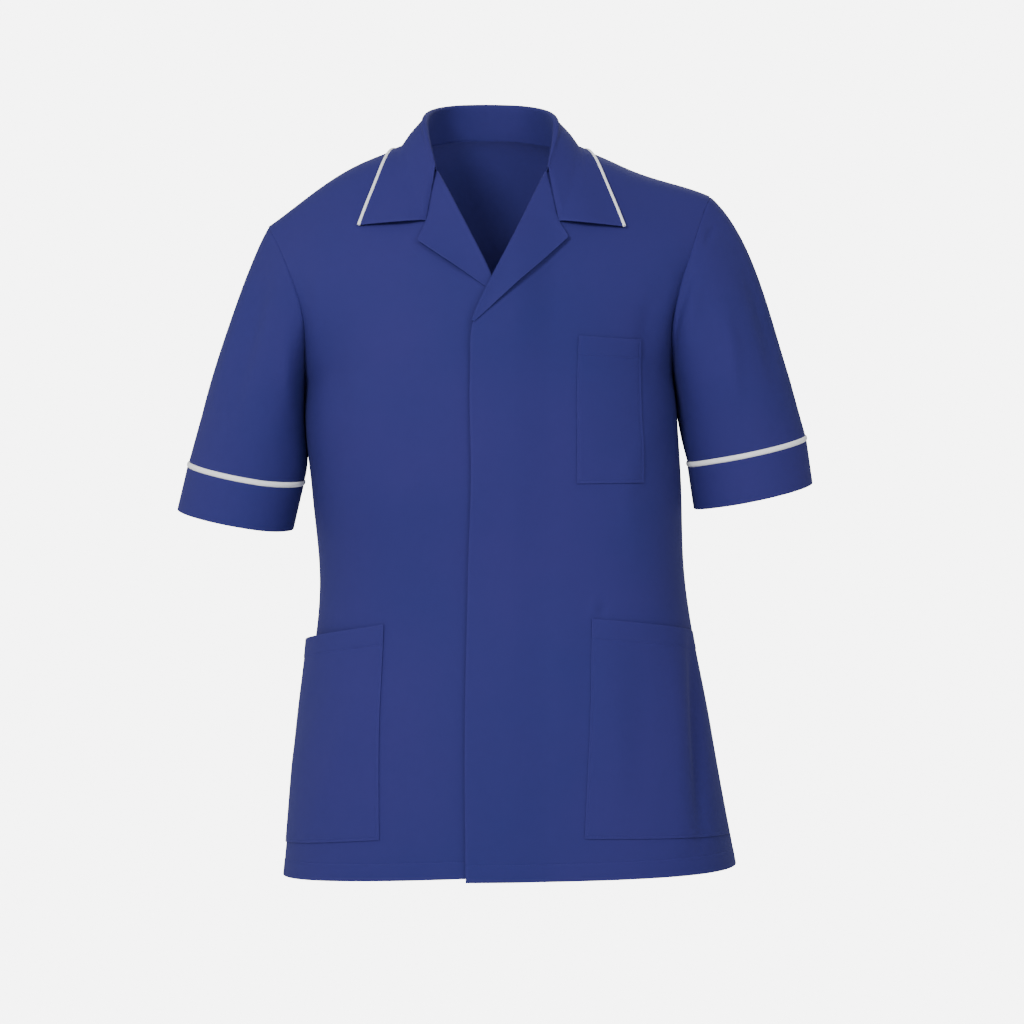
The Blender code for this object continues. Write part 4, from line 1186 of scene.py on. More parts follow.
@dataclass
class Sleeve:
    """Short sleeve, its cuff band, and the piping between them."""

    form: TunicForm
    wardrobe: Wardrobe
    shape: SleeveForm
    half_width: float = 0.0615
    half_depth: float = 0.0570
    hang_back: float = 0.110
    arrive_out: float = 0.300
    cap_pull: float = 0.62
    tuck: float = 0.0020
    tuck_depth: float = 0.0012
    tuck_rise: tuple[float, float] = (0.006, 0.055)
    armhole_samples: int = 200
    drape_from: float = 0.10
    highlight_share: float = 0.01
    under_out: float = 0.06
    side_bulge: float = 0.22
    ring_bias: float = 1.3
    rings: int = 90
    around: int = 168
    cloth: float = 0.0011
    cuff_depth: float = 0.0455
    cuff_cloth: float = 0.0018
    cuff_proud: float = 0.0005
    cuff_rings: int = 16
    cuff_rim: float = 0.0011
    cuff_wear: float = 0.0016
    piping_height: float = 0.0056
    piping_thickness: float = 0.0036
    piping_sides: int = 14
    rim: float = 0.008
    sleeve_cut: Cut = Cut(0.450, 0.270, 0.070)
    cuff_cut: Cut = Cut(0.375, 0.046, 0.0172, "folded")

    @property
    def axis(self) -> Array:
        """Direction in which the sleeve hangs at its piped seam."""
        return unit(np.array((self.shape.side.value * self.shape.hang_out, self.hang_back, -1.0)))

    def armhole(self) -> Array:
        """Even points just inside the armhole's edge: up the front, over, and down the back."""
        inside = 1.0 - self.tuck / self.form.panel_width
        front = np.linspace(self.form.front.level("underarm"), 1.0, self.armhole_samples)
        back = np.linspace(1.0, self.form.back.level("underarm"), self.armhole_samples)[1:]
        edge = []
        for surface, up in ((self.form.front_surface, front), (self.form.back_surface, back)):
            points, normals = surface(self.shape.side, np.full_like(up, inside), up)
            edge.append(points + normals * self.form.relief(points, normals)[:, None])
        route = np.vstack(edge)
        places = run_lengths(route)
        return read_line(np.linspace(0, places[-1], self.around, endpoint=False), places, route)

    def spokes(self) -> tuple[Array, Array]:
        """Unit-length and full-length spokes of the oval at the piped seam."""
        axis = self.axis
        wide = unit(np.cross(np.array((0.0, 1.0, 0.0)), axis))
        wide = wide * np.sign(wide[0]) * self.shape.side.value
        deep = unit(np.cross(axis, wide))
        deep = deep * -np.sign(deep[1])
        turn = full_turn(self.around)[:, None]
        full = -np.cos(turn) * wide * self.half_width + np.sin(turn) * deep * self.half_depth
        out = -np.cos(turn) * wide / self.half_width + np.sin(turn) * deep / self.half_depth
        return unit(out), full

    def ring(self, beyond: Array | float) -> tuple[Array, Array]:
        """Oval rings `beyond` the piped seam along the sleeve, with their outward normals."""
        out, full = self.spokes()
        centre = self.shape.side.mirror * (self.shape.seam_x, self.shape.seam_y, self.shape.seam_z)
        rings = centre + self.axis * np.asarray(beyond)[..., None, None] + full
        return rings, np.broadcast_to(out, rings.shape)

    def grid(self) -> tuple[Array, Array, Array]:
        """Sleeve surface from the armhole to the piping.

        Each lengthwise line is a cubic curve that leaves the armhole outward and down, most at
        the shoulder, and arrives along the hang of the sleeve.

        Returns:
            Upright points, their normals, and how much of the drape each ring takes.
        """
        start = self.armhole()
        end = self.ring(-self.piping_height / 2)[0]
        length = np.linalg.norm(end - start, axis=1, keepdims=True)
        height = np.clip((start[:, 2:3] - UNDERARM_Z) / (self.form.shoulder_z - UNDERARM_Z), 0, 1)
        out = self.under_out + (self.shape.cap_out - self.under_out) * height
        pull = length * (1.0 - (1.0 - self.cap_pull) * height ** 2)
        forward = np.sin(full_turn(self.around))[:, None]
        side = self.shape.side.value
        leave = np.concatenate((side * out, -self.side_bulge * forward, -np.sqrt(1 - out ** 2)), axis=1)
        arrive = unit(np.array((side * self.arrive_out, self.hang_back, -1.0)))
        share = edged_levels(self.rings, self.rim) ** self.ring_bias
        grid = hermite(start[None], (leave * pull)[None], end[None], (arrive * length)[None],
                       share[:, None, None])
        round_way = np.roll(grid, -1, axis=1) - np.roll(grid, 1, axis=1)
        normals = unit(np.cross(round_way, np.gradient(grid, axis=0)))
        middle = grid.mean(axis=1, keepdims=True)
        normals = normals * np.sign(np.sum(normals * (grid - middle), axis=-1).mean())
        flat = start - start.mean(axis=0)
        flat[:, 0] = 0.0
        fade = smooth_step(0.0, self.drape_from, share)[:, None, None]
        return grid, unit(unit(flat) * (1 - fade) + normals * fade), fade[..., 0]

    def build_sleeve(self) -> None:
        """The sleeve's cloth."""
        grid, normals, fade = self.grid()
        levels = edged_levels(self.rings, self.rim)
        risen = smooth_step(*self.tuck_rise, levels)[:, None]
        relief = self.form.relief(grid, normals, UNDERARM_Z) * fade - self.tuck_depth * (1.0 - risen)
        half = self.cloth / 2 * edge_ease(levels, self.rim)[:, None]
        walls = []
        for move in (half, -half):
            points = grid + normals * (relief - self.cloth / 2 + move)[..., None]
            walls.append(self.form.pose.apply(points, UNDERARM_Z))
        # Painted highlight at the sleeve's end by the piping.
        wear = bell(1.0 - levels, self.highlight_share)[:, None] * np.ones(self.around)
        name = "sleeve_" + self.shape.side.word
        piece = shell(name + "_cloth", *walls, wear, closed=True)
        self.wardrobe.dress(piece, TWILL, Slot.CLOTH, name, self.sleeve_cut)

    def build_cuff(self) -> None:
        """The band, doubled cloth with rounded edges."""
        rim = self.cuff_rim / self.cuff_depth
        levels = edged_levels(self.cuff_rings, rim)
        rings, normals = self.ring(self.piping_height / 2 + levels * self.cuff_depth)
        surface = Surface(self.form, rings, normals, UNDERARM_Z)
        ease = edge_ease(levels, rim)[:, None]
        # Painted highlight along the band's lower edge.
        wear = bell((1.0 - levels) * self.cuff_depth, self.cuff_wear)[:, None] * np.ones(self.around)
        name = "cuff_" + self.shape.side.word
        piece = surface.wall(name + "_cloth", self.cuff_proud - self.cuff_cloth, self.cuff_proud,
                             ease, wear, closed=True)
        self.wardrobe.dress(piece, TWILL, Slot.CLOTH, name, self.cuff_cut)

    def build_piping(self) -> None:
        """Flat-oval piping round the sleeve's end."""
        turns = full_turn(self.piping_sides)
        rings, normals = self.ring(self.piping_height / 2 * np.sin(turns))
        surface = Surface(self.form, rings, normals, UNDERARM_Z)
        lift = self.piping_thickness / 2 * np.cos(turns) - self.cloth / 2 + self.cuff_proud / 2
        name = "cuff_piping_" + self.shape.side.word
        piece = tube(name + "_cord", surface.at(lift[:, None]))
        self.wardrobe.dress(piece, PIPING, Slot.PIPING, name)

    def build(self) -> None:
        """Build the sleeve, its band and its piping."""
        self.build_sleeve()
        self.build_cuff()
        self.build_piping()


class CollarRow(NamedTuple):
    """One station of the collar: where its roll and its outer edge are."""

    u: float
    roll: tuple[float, float, float]
    edge: tuple[float, float, float]


@dataclass
class Collar:
    """Stand and fall in one rounded fold, and the piping along the outer edge."""

    form: TunicForm
    wardrobe: Wardrobe
    rows: tuple[CollarRow, ...] = (
        CollarRow(0.00, (0.000, 0.068, 0.0460), (0.000, 0.098, -0.014)),
        CollarRow(0.25, (0.039, 0.055, 0.0425), (0.058, 0.082, -0.016)),
        CollarRow(0.42, (0.057, 0.026, 0.0345), (0.090, 0.044, -0.015)),
        CollarRow(0.56, (0.0635, -0.004, 0.0250), (0.0985, 0.000, -0.010)),
        CollarRow(0.78, (0.0640, -0.036, 0.004), (0.116, -0.055, -0.046)),
        CollarRow(1.00, (0.0568, -0.0655, -0.0345), (0.133, -0.100, -0.094)))
    cloth: float = 0.0017
    seat: float = -0.0004
    rest: float = 0.0010
    rest_on_lapel: float = 0.0014
    roll_radius: float = 0.0028
    end_radius: float = 0.0016
    bulge: float = 0.001
    shoulder_bulge: float = 0.0014
    edge_rise: float = 0.0016
    rises_from: float = 0.72
    shoulder_u: float = 0.60
    shoulder_reach: float = 0.22
    rests_from: float = 0.35
    notch: tuple[float, float] = (0.0665, -0.0905)
    notch_share: float = 0.45
    notch_joins: float = 3.0
    notch_from: float = 0.70
    edge_push: tuple[float, float] = (0.30, 0.80)
    stand_rows: int = 8
    roll_rows: int = 7
    fall_rows: int = 30
    columns: int = 161
    easing: int = 90
    lift_easing: int = 30
    tuck: float = 0.0018
    tuck_from: float = 0.95
    samples: int = 70
    samples_from: float = 0.6
    block: int = 400
    piping_width: float = 0.0036
    piping_thickness: float = 0.0030
    piping_rest: float = 0.0004
    piping_sink: float = 0.0002
    piping_sides: int = 12
    look_back: int = 4
    rim: float = 0.016
    rim_rows: float = 3.0
    rim_columns: float = 1.0
    drape_from: float = 0.5
    cut: Cut = Cut(0.480, 0.125, 0.0450, "folded")

    def body_samples(self) -> tuple[Array, Array]:
        """Dense points and normals of the body's outside."""
        across, up = np.meshgrid(np.linspace(0, 1, self.samples),
                                 np.linspace(self.samples_from, 1, 2 * self.samples))
        low = self.samples_from
        reach = low + (up - low) * (self.form.back_top(across) - low) / (1 - low)
        points = []
        normals = []
        for side in Side:
            for spot, normal in (self.form.front_surface(side, across, up),
                                 self.form.back_surface(side, across, reach)):
                points.append(spot.reshape(-1, 3))
                normals.append(normal.reshape(-1, 3))
        return np.vstack(points), np.vstack(normals)

    def settled(self, points: Array, share: Array, clearance: Array) -> Array:
        """Lay points on the body.

        Each point is compared with the tangent plane of the nearest sample. It moves out of
        anything nearer than the clearance, and in by its share of what it stands off.

        Args:
            points: Points of the collar.
            share: How much each point is drawn to the body, from 0 to 1.
            clearance: Distance of each point from the body.

        Returns:
            The moved points.
        """
        samples, normals = self.body_samples()
        flat = points.reshape(-1, 3)
        length = (samples ** 2).sum(axis=1)
        near = np.concatenate([(length - 2 * part @ samples.T).argmin(axis=1)
                               for part in np.array_split(flat, max(1, len(flat) // self.block))])
        normal = normals[near]
        want = clearance.ravel() - np.sum((flat - samples[near]) * normal, axis=1)
        want = np.where(want < 0, want * share.ravel(), want)
        level = 1.0 - smooth_step(*self.edge_push, -normal[:, 1])
        way = unit(np.stack((np.zeros(len(flat)), normal[:, 1], normal[:, 2] * level), axis=-1))
        along = np.maximum(np.sum(way * normal, axis=1), self.edge_push[0])
        return (flat + way * (want / along)[:, None]).reshape(points.shape)

    @staticmethod
    def eased(grid: Array, passes: int) -> Array:
        """Smooth points or moves along the collar's length, with its ends kept."""
        for _ in range(passes):
            near = (grid[..., :-2, :] + grid[..., 2:, :]) / 2
            grid[..., 1:-1, :] = (grid[..., 1:-1, :] + near) / 2
        return grid

    def middle(self) -> tuple[Array, Array]:
        """Middle surface of the collar.

        Rows run from the neck seam up the stand, over a half circle at the roll, and down the
        fall, which is laid on the body and smoothed along its length. From the roll to the notch
        its ends are tucked into the lapels.

        Returns:
            Upright points, and how much of the drape each row takes.
        """
        u = np.linspace(-1, 1, self.columns)
        ends = [(*row.roll, *row.edge) for row in self.rows]
        table = spline([row.u for row in self.rows], ends, np.abs(u))
        sign = mirrors(u)
        seam = self.form.neck_seam(np.abs(u)) * sign + np.array((0.0, 0.0, self.seat))
        roll = table[:, 0:3] * sign
        edge = table[:, 3:6] * sign
        bend = smooth_step(self.notch_from, 1.0, np.abs(u))[:, None]
        height = self.rest + (self.rest_on_lapel - self.rest) * bend + self.cloth / 2
        radius = self.roll_radius + (self.end_radius - self.roll_radius) * bend
        across, up = self.form.on_front(np.array([self.notch[0]]), np.array([self.notch[1]]))
        spot, normal = self.form.front_surface(Side.LEFT, across, up)
        corner = (spot + normal * height) * sign
        away = unit(edge - roll) * (1 - bend) + unit(corner - roll) * bend
        away[:, 2] = 0.0
        away = unit(away)
        lift = np.array((0.0, 0.0, 1.0))
        stand = seam + (roll - seam) * np.linspace(0, 1, self.stand_rows)[:, None, None]
        turn = np.linspace(0, math.pi, self.roll_rows + 2)[1:, None, None]
        over = roll + away * (1 - np.cos(turn)) * radius + lift * np.sin(turn) * radius
        down = over[-1]
        share = edged_levels(self.fall_rows, self.rim, at_low=False)[1:]
        fall = []
        beside = bell(np.abs(u) - self.shoulder_u, self.shoulder_reach)[:, None]
        bulge = self.bulge + self.shoulder_bulge * beside
        for part in share:
            straight = down + (edge - down) * part
            early = down + (corner - down) * (part / self.notch_share)
            late = corner + (edge - corner) * ((part - self.notch_share) / (1 - self.notch_share))
            cornered = early if part < self.notch_share else late
            row = straight * (1 - bend) + cornered * bend
            fall.append(row + away * bulge * math.sin(math.pi * part))
        fall = np.stack(fall)
        weight = smooth_step(self.rests_from, 1.0, share)[:, None] * np.ones(self.columns)
        rises = self.edge_rise * smooth_step(self.rises_from, 1.0, np.abs(u))
        height = height[:, 0] + rises * share[:, None] ** 2
        laid = self.eased(self.settled(fall, weight, height), self.easing)
        lifted = self.settled(laid, np.zeros_like(weight), height) - laid
        laid = laid + self.eased(lifted, self.lift_easing)
        joins_by = self.notch_share / self.notch_joins
        joined = smooth_step(0.0, joins_by, share) * (share < self.notch_share)
        tuck = self.tuck * joined[:, None] * smooth_step(self.tuck_from, 1.0, np.abs(u))
        laid = laid - normal * sign * tuck[..., None]
        still = np.zeros(len(stand) + len(over))
        drape = np.concatenate((still, smooth_step(0.0, self.drape_from, share)))
        return np.concatenate((stand, over, laid)), drape

    def build(self) -> None:
        """Build the collar and its piping."""
        middle, drape = self.middle()
        normals = grid_normals(middle)
        relief = self.form.relief(middle, normals) * drape[:, None]
        ease_rows = edge_ease(np.arange(len(middle)), self.rim_rows)
        ease_ends = edge_ease(np.arange(self.columns), self.rim_columns)
        half = self.cloth / 2 * ease_rows[:, None] * ease_ends
        walls = [self.form.pose.apply(middle + normals * (relief + move)[..., None])
                 for move in (half, -half)]
        # Painted highlight along the outer edge and the two ends.
        wear = np.zeros(half.shape)
        wear[-1] = 1.0
        wear[:, [0, -1]] = 1.0
        piece = shell("collar_cloth", *walls, wear)
        self.wardrobe.dress(piece, TWILL, Slot.CLOTH, "collar", self.cut)
        self.build_piping(middle, relief[-1], normals[-1])

    def build_piping(self, middle: Array, relief: Array, normals: Array) -> None:
        """Oval piping just outside the collar's outer edge, lying on the body."""
        edge = middle[-1] + normals * relief[:, None]
        along = unit(np.gradient(edge, axis=0))
        outward = aside(middle[-1] - middle[-self.look_back], along)
        up = unit(np.cross(along, outward))
        centre = edge + outward * (self.piping_width / 2 - self.piping_sink)
        still = np.zeros(len(centre))
        lifted = self.settled(centre, still, still + self.piping_thickness / 2 + self.piping_rest)
        centre = centre + self.eased(lifted - centre, self.lift_easing)
        turn = full_turn(self.piping_sides)[:, None, None]
        rings = (centre + outward * self.piping_width / 2 * np.cos(turn)
                 + up * self.piping_thickness / 2 * np.sin(turn))
        piece = tube("collar_piping_cord", self.form.pose.apply(rings), ends=True)
        self.wardrobe.dress(piece, PIPING, Slot.PIPING, "collar_piping")


@dataclass(frozen=True)
class LapelForm:
    """Front view of a lapel: its tip, where its edge would meet the front edge, and its end."""

    side: Side
    tip: tuple[float, float]
    foot: tuple[float, float]
    end: float


@dataclass
class Lapel:
    """Turned-out front facing: it rounds the roll line and lies on its front."""

    form: TunicForm
    wardrobe: Wardrobe
    shape: LapelForm
    notch: tuple[float, float] = (0.0650, -0.0860)
    tip_share: float = 0.20
    front_cloth: float = 0.0011
    cloth: float = 0.0010
    rest: float = 0.0004
    edge_rise: float = 0.0042
    flat_from: float = 0.60
    rows: int = 90
    columns: int = 44
    turn_columns: int = 9
    rim: float = 0.022
    highlight_wide: float = 0.03
    highlight_long: float = 0.012
    cut: Cut = Cut(0.075, 0.190, 0.0055, "folded")

    def outline(self, share: Array) -> tuple[Array, Array]:
        """Front view of the roll line and of the outer edge, from the gorge down."""
        front = self.form.front
        up = front.level("gorge") + (front.level("break") - front.level("gorge")) * share
        roll = front.points(np.zeros_like(up), up)[:, [0, 2]]
        notch = np.array(self.notch)
        tip = np.array(self.shape.tip)
        foot = np.array(self.shape.foot)
        early = np.clip(share / self.tip_share, 0, 1)[:, None]
        late = np.clip((share - self.tip_share) / (1 - self.tip_share), 0, 1)[:, None]
        edge = np.where(share[:, None] < self.tip_share, notch + (tip - notch) * early,
                        tip + (foot - tip) * late)
        return roll, edge

    def build(self) -> None:
        """Build the lapel's cloth.

        Outward from the roll line it lies on the front, and its free edge stands off it. The other
        way it turns round the front's edge on a half circle, in the plane across the roll line.
        """
        end = self.shape.end
        share = edged_levels(self.rows, self.rim * end, high=end)
        roll, edge = self.outline(share)
        wide = edged_levels(self.columns, self.rim, at_low=False)
        view = roll[:, None] * (1 - wide[:, None]) + edge[:, None] * wide[:, None]
        across, up = self.form.on_front(view[..., 0], view[..., 1])
        points, normals = self.form.front_surface(self.shape.side, across, up)
        surface = Surface(self.form, points, normals)
        early = smooth_step(0.0, self.tip_share, share)
        late = smooth_step(self.flat_from, 1.0, share / end)
        rest = self.rest + self.edge_rise * (early * (1.0 - late))[:, None] * wide ** 2
        low = surface.at(rest)
        high = surface.at(rest + self.cloth)
        over = unit(high - low)
        edge_line = (low + high)[:, 0] / 2
        out = over[:, 0]
        along = unit(np.gradient(edge_line, axis=0))
        away = aside(aside(edge_line - (low + high)[:, 2] / 2, along), out)
        radius = (self.front_cloth + 2 * self.rest + self.cloth) / 2
        turn = np.linspace(math.pi, 0, self.turn_columns)[:-1, None]
        ring_out = out[:, None] * np.cos(turn) + away[:, None] * np.sin(turn)
        ring = (edge_line - out * radius)[:, None] + ring_out * radius
        middle = np.concatenate((ring, (low + high) / 2), axis=1)
        thick = np.concatenate((ring_out, over), axis=1) * self.cloth / 2
        ease_flat = edge_ease(wide, self.rim, at_low=False)
        ease_columns = np.concatenate((np.ones(self.turn_columns - 1), ease_flat))
        thick = thick * (edge_ease(share, self.rim * end)[:, None] * ease_columns)[..., None]
        flat = np.concatenate((np.zeros(self.turn_columns - 1), wide))
        # Painted highlight along the free edge and at the gorge.
        wear = np.maximum(bell(1 - flat, self.highlight_wide), bell(share, self.highlight_long)[:, None])
        name = "lapel_" + self.shape.side.word
        piece = shell(name + "_cloth", middle + thick, middle - thick, wear)
        self.wardrobe.dress(piece, TWILL, Slot.CLOTH, name, self.cut)


@dataclass
class Pocket:
    """Patch pocket: a grid of places on a front, from its mouth down and inner to outer side."""

    form: TunicForm
    wardrobe: Wardrobe
    name: str
    side: Side
    corners_across: Corners
    corners_up: Corners
    size: tuple[float, float]
    cut: Cut
    mouth_hem: float = 0.020
    in_view: bool = False
    gape: float = 0.0
    gape_close: float = 0.014
    gape_fade: float = 1.5
    cloth: float = 0.0009
    rest: float = 0.0004
    hem_cloth: float = 0.00045
    groove: float = 0.00025
    groove_width: float = 0.0011
    groove_levels: tuple[float, int] = (1.6, 5)
    stitch_inset: float = 0.0022
    stitch_samples: int = 120
    highlight_width: float = 0.0016
    rim: float = 0.0009
    cell: float = 0.0026

    def places(self, down: Array, wide: Array) -> tuple[Array, Array]:
        """Across and up at shares of the way down from the mouth and out from the inner side.

        The corners are x and z in the front view, or already across and up, as `in_view` says.
        """
        found = []
        for corners in (self.corners_across, self.corners_up):
            (mouth_in, mouth_out), (base_in, base_out) = corners
            inner = mouth_in + (base_in - mouth_in) * down
            outer = mouth_out + (base_out - mouth_out) * down
            found.append(inner + (outer - inner) * wide)
        if self.in_view:
            return self.form.on_front(found[0], found[1])
        return found[0], found[1]

    def surface(self, down: Array, wide: Array) -> Surface:
        """The front's outside under the given places of the pocket."""
        across, up = self.places(down, wide)
        return Surface(self.form, *self.form.front_surface(self.side, across, up))

    def lifts(self, down: Array, wide: Array) -> tuple[Array, Array]:
        """Lowest and highest lift of the cloth.

        It gapes at the mouth but is sewn down at the sides, is doubled at the mouth hem, and is
        grooved at the stitch lines.
        """
        width, length = self.size
        gape = self.gape * (1 - down) ** self.gape_fade * np.sin(math.pi / 2 * wide) ** 2
        gape = gape * (1 - smooth_step(1 - self.gape_close / width, 1.0, wide))
        drop = down * length
        hem = 1.0 - smooth_step(self.mouth_hem - HEM_EDGE, self.mouth_hem + HEM_EDGE, drop)
        inset = np.minimum(np.minimum(wide, 1 - wide) * width, (1 - down) * length)
        near = np.maximum(bell(inset - self.stitch_inset, self.groove_width),
                          bell(drop - self.mouth_hem, self.groove_width))
        low = self.rest + gape
        return low, low + self.cloth + hem * self.hem_cloth - near * self.groove

    def levels(self, size: float, lines: Sequence[float]) -> Array:
        """Levels along one side of that size, with close ones at its edges and stitch lines."""
        even = edged_levels(int(size / self.cell), self.rim / size)
        return close_levels(even, lines, size, self.groove_width, *self.groove_levels)

    def build(self) -> None:
        """Build the pocket's cloth and its stitches."""
        width, length = self.size
        inset = self.stitch_inset
        down = self.levels(length, (self.mouth_hem, length - inset))
        wide = self.levels(width, (inset, width - inset))
        ease = edge_ease(down, self.rim / length)[:, None] * edge_ease(wide, self.rim / width)
        gap_down = np.minimum(down, 1 - down) * length
        gap_wide = np.minimum(wide, 1 - wide) * width
        # Painted highlight along the pocket's four edges.
        wear = bell(np.minimum(gap_down[:, None], gap_wide), self.highlight_width)
        columns, rows = np.meshgrid(wide, down)
        surface = self.surface(rows, columns)
        low, high = self.lifts(rows, columns)
        piece = surface.wall(self.name + "_cloth", low, high, ease, wear)
        self.wardrobe.dress(piece, TWILL, Slot.CLOTH, self.name, self.cut)
        self.build_stitching()

    def build_stitching(self) -> None:
        """Stitches down the sides, along the bottom and below the mouth hem."""
        width, length = self.size
        side = self.stitch_inset / width
        low = 1 - self.stitch_inset / length
        hem = self.mouth_hem / length
        run = np.linspace(0.0, 1.0, self.stitch_samples)
        same = np.ones_like(run)
        lines = ((run * low, same * side), (run * low, same * (1 - side)),
                 (same * low, side + run * (1 - 2 * side)), (same * hem, run))
        runs = [self.surface(down, wide).line(self.lifts(down, wide)[1]) for down, wide in lines]
        piece = Stitching().piece(self.name + "_stitching", runs)
        self.wardrobe.dress(piece, THREAD, Slot.CLOTH)


@dataclass
class Pockets:
    """Chest pocket on the wearer's left, and two lower pockets that reach the side seams."""

    form: TunicForm
    wardrobe: Wardrobe
    chest_x: Corners = ((0.088, 0.153), (0.0855, 0.152))
    chest_z: Corners = ((-0.208, -0.211), (-0.360, -0.362))
    lower_z: Corners = ((-0.4935, -0.513), (-0.709, -0.721))
    lower_side: float = 0.985
    reach_up: float = 0.6
    side_samples: int = 200

    def build_chest(self) -> None:
        """Chest pocket, set by its corners in the front view."""
        Pocket(self.form, self.wardrobe, "chest_pocket", Side.LEFT, self.chest_x, self.chest_z,
               size=(0.076, 0.153), cut=Cut(0.073, 0.152, 0.0109, "laid"), in_view=True).build()

    def build_lower(self, side: Side, mouth_x: float, base_x: float, gape: float) -> None:
        """Lower pocket: its inner corners in the front view, its outer ones by height at the side."""
        z = np.array(self.lower_z)
        across, up = self.form.on_front(np.array((mouth_x, base_x)), z[:, 0])
        levels = np.linspace(0, self.reach_up, self.side_samples)
        heights = self.form.front.points(np.ones_like(levels), levels)[:, 2]
        outer_up = np.interp(z[:, 1], heights, levels)
        outer_across = np.full(2, self.lower_side)
        Pocket(self.form, self.wardrobe, "lower_pocket_" + side.word, side,
               to_pairs(np.stack((across, outer_across), axis=1)),
               to_pairs(np.stack((up, outer_up), axis=1)),
               size=(0.168, 0.218), cut=Cut(0.182, 0.224, 0.0393, "laid"), gape=gape).build()

    def build(self) -> None:
        """Build all three pockets."""
        self.build_chest()
        self.build_lower(Side.LEFT, 0.104, 0.0965, 0.001)
        self.build_lower(Side.RIGHT, 0.105, 0.109, 0.009)


def to_pairs(values: Array) -> Corners:
    """Two by two values as plain pairs."""
    first, second = values.tolist()
    return (first[0], first[1]), (second[0], second[1])


@dataclass
class AreaLight:
    """One soft light: where it stands, what it faces, its size, power and colour."""

    name: str
    place: tuple[float, float, float]
    target: tuple[float, float, float]
    size: float
    power: float
    colour: tuple[float, float, float] = (1.0, 1.0, 1.0)

    def build(self) -> None:
        """Add the light."""
        lamp = bpy.data.lights.new(self.name, "AREA")
        lamp.shape = "DISK"
        lamp.size = self.size
        lamp.energy = self.power
        lamp.color = self.colour
        thing = bpy.data.objects.new(self.name, lamp)
        thing.location = self.place
        aim = np.array(self.target) - np.array(self.place)
        flat = math.hypot(aim[0], aim[1])
        heading = math.atan2(aim[1], aim[0]) - math.pi / 2
        thing.rotation_euler = (math.atan2(flat, -aim[2]), 0.0, heading)
        thing.visible_camera = False
        bpy.context.scene.collection.objects.link(thing)


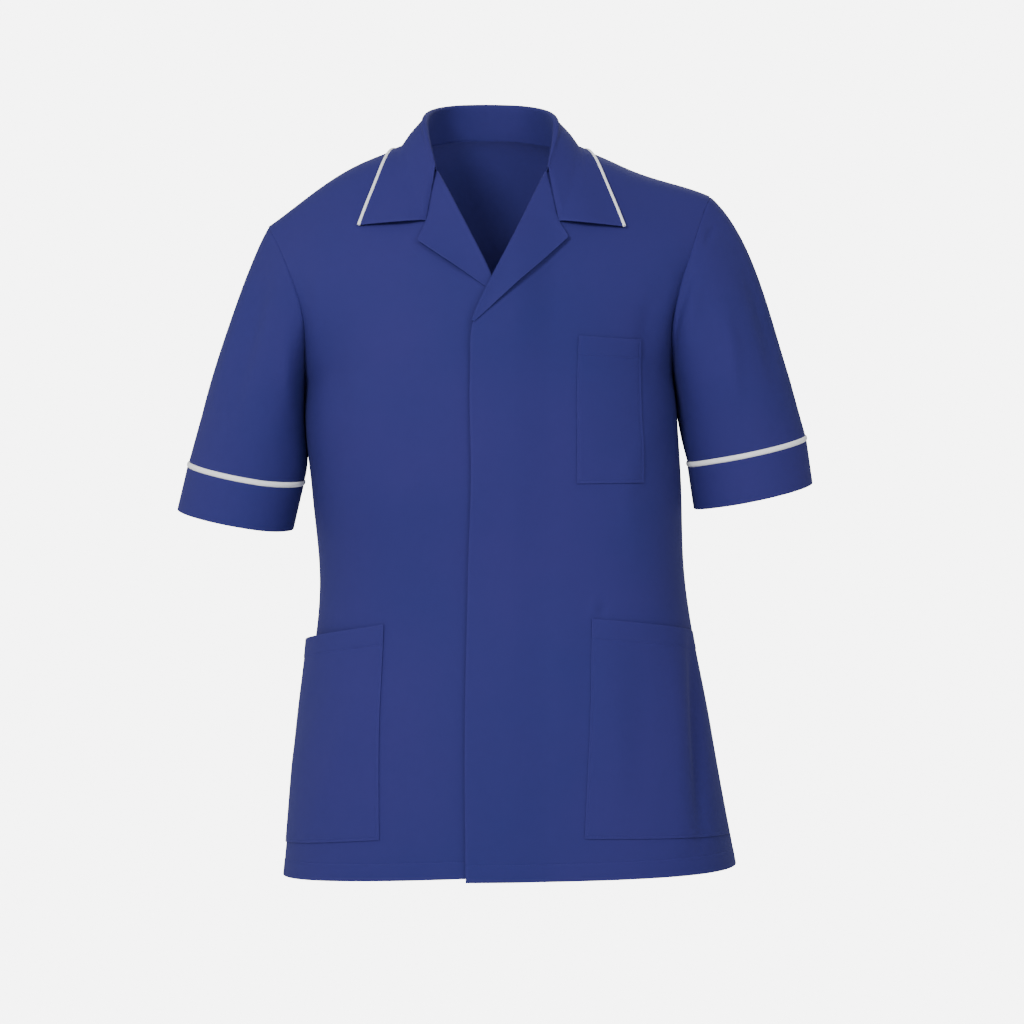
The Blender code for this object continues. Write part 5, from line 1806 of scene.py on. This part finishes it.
@dataclass
class Studio:
    """Pale floor, soft light and the camera."""

    floor_z: float = -1.62
    floor_half: float = 30.0
    floor_colour: tuple[float, float, float] = (0.93, 0.93, 0.93)
    floor_grain: float = 3.0
    floor_rough: tuple[float, float] = (0.1, 0.8)
    world_light: float = 0.50
    seen: float = 6.0
    camera_place: tuple[float, float, float] = (0.023, -3.0, -0.384)
    focal_pixels: float = 2885.0
    picture_pixels: float = 1024.0
    sensor: float = 36.0
    sight: float = 200.0
    lights: tuple[AreaLight, ...] = (
        AreaLight("key", (-1.3, -2.7, 0.9), (0.0, 0.0, -0.40), 0.9, 72.0),
        AreaLight("fill", (1.3, -2.5, 0.9), (0.08, 0.0, -0.12), 1.8, 28.0, (0.95, 0.97, 1.0)),
        AreaLight("back", (0.4, 2.2, 1.4), (0.0, 0.0, -0.30), 2.0, 22.0),
        AreaLight("side", (-2.4, 0.4, 0.2), (0.0, 0.0, -0.35), 1.6, 10.0),
        AreaLight("inner", (0.0, 0.0, -1.25), (0.0, 0.0, -0.30), 0.35, 6.5))

    def build_floor(self) -> None:
        """A wide plane with a matt pale finish, seen brighter than it lights."""
        half = self.floor_half
        ways = ((-1, -1), (1, -1), (1, 1), (-1, 1))
        corners = [(half * way_x, half * way_y, self.floor_z) for way_x, way_y in ways]
        mesh = bpy.data.meshes.new("floor")
        mesh.from_pydata(corners, [], [(0, 1, 2, 3)])
        floor = bpy.data.objects.new("floor", mesh)
        bpy.context.scene.collection.objects.link(floor)
        desk = NodeDesk("pale floor")
        where = desk.add("ShaderNodeTexCoord").outputs["Object"]
        rough = desk.sum_of(desk.noise(where, self.floor_grain, 2.0), *self.floor_rough)
        desk.put(desk.shader, "Base Color", (*self.floor_colour, 1.0))
        desk.put(desk.shader, "Roughness", rough)
        seen = desk.add("ShaderNodeLightPath").outputs["Is Camera Ray"]
        desk.put(desk.shader, "Emission Color", WHITE)
        desk.put(desk.shader, "Emission Strength", desk.sum_of(seen, self.seen, 0.0))
        mesh.materials.append(desk.material)

    def build_world(self) -> None:
        """Even white surroundings, seen brighter than they light."""
        world = bpy.data.worlds.new("studio")
        world.use_nodes = True
        tree = world.node_tree
        tree.nodes.clear()
        output = tree.nodes.new("ShaderNodeOutputWorld")
        mix = tree.nodes.new("ShaderNodeMixShader")
        path = tree.nodes.new("ShaderNodeLightPath")
        tree.links.new(path.outputs["Is Camera Ray"], mix.inputs[0])
        for socket, strength in ((1, self.world_light), (2, self.seen + self.world_light)):
            glow = tree.nodes.new("ShaderNodeBackground")
            glow.inputs["Color"].default_value = WHITE
            glow.inputs["Strength"].default_value = strength
            tree.links.new(glow.outputs[0], mix.inputs[socket])
        tree.links.new(mix.outputs[0], output.inputs[0])
        bpy.context.scene.world = world

    def build_camera(self) -> None:
        """Level camera in front, with the picture's field of view."""
        lens = bpy.data.cameras.new("camera")
        lens.sensor_width = self.sensor
        lens.lens = self.focal_pixels / self.picture_pixels * self.sensor
        lens.clip_end = self.sight
        camera = bpy.data.objects.new("camera", lens)
        camera.location = self.camera_place
        camera.rotation_euler = (math.pi / 2, 0.0, 0.0)
        bpy.context.scene.collection.objects.link(camera)
        bpy.context.scene.camera = camera

    def build(self) -> None:
        """Build the camera, world, floor and lights."""
        self.build_camera()
        self.build_world()
        self.build_floor()
        for light in self.lights:
            light.build()


def main() -> None:
    logging.basicConfig(level=logging.INFO, format="%(name)s: %(message)s")
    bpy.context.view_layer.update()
    form = TunicForm()
    wardrobe = Wardrobe.made((TWILL, PIPING, THREAD))
    Studio().build()
    Body(form, wardrobe).build()
    for shape in (SleeveForm(Side.LEFT, 0.266, -0.018, -0.336, 0.80, 0.150),
                  SleeveForm(Side.RIGHT, 0.2515, -0.018, -0.3295, 0.54, 0.255)):
        Sleeve(form, wardrobe, shape).build()
    Collar(form, wardrobe).build()
    for shape in (LapelForm(Side.LEFT, (0.0755, -0.109), (-0.018, -0.198), 0.985),
                  LapelForm(Side.RIGHT, (0.0745, -0.113), (-0.018, -0.176), 0.78)):
        Lapel(form, wardrobe, shape).build()
    Pockets(form, wardrobe).build()


if __name__ == "__main__":
    main()
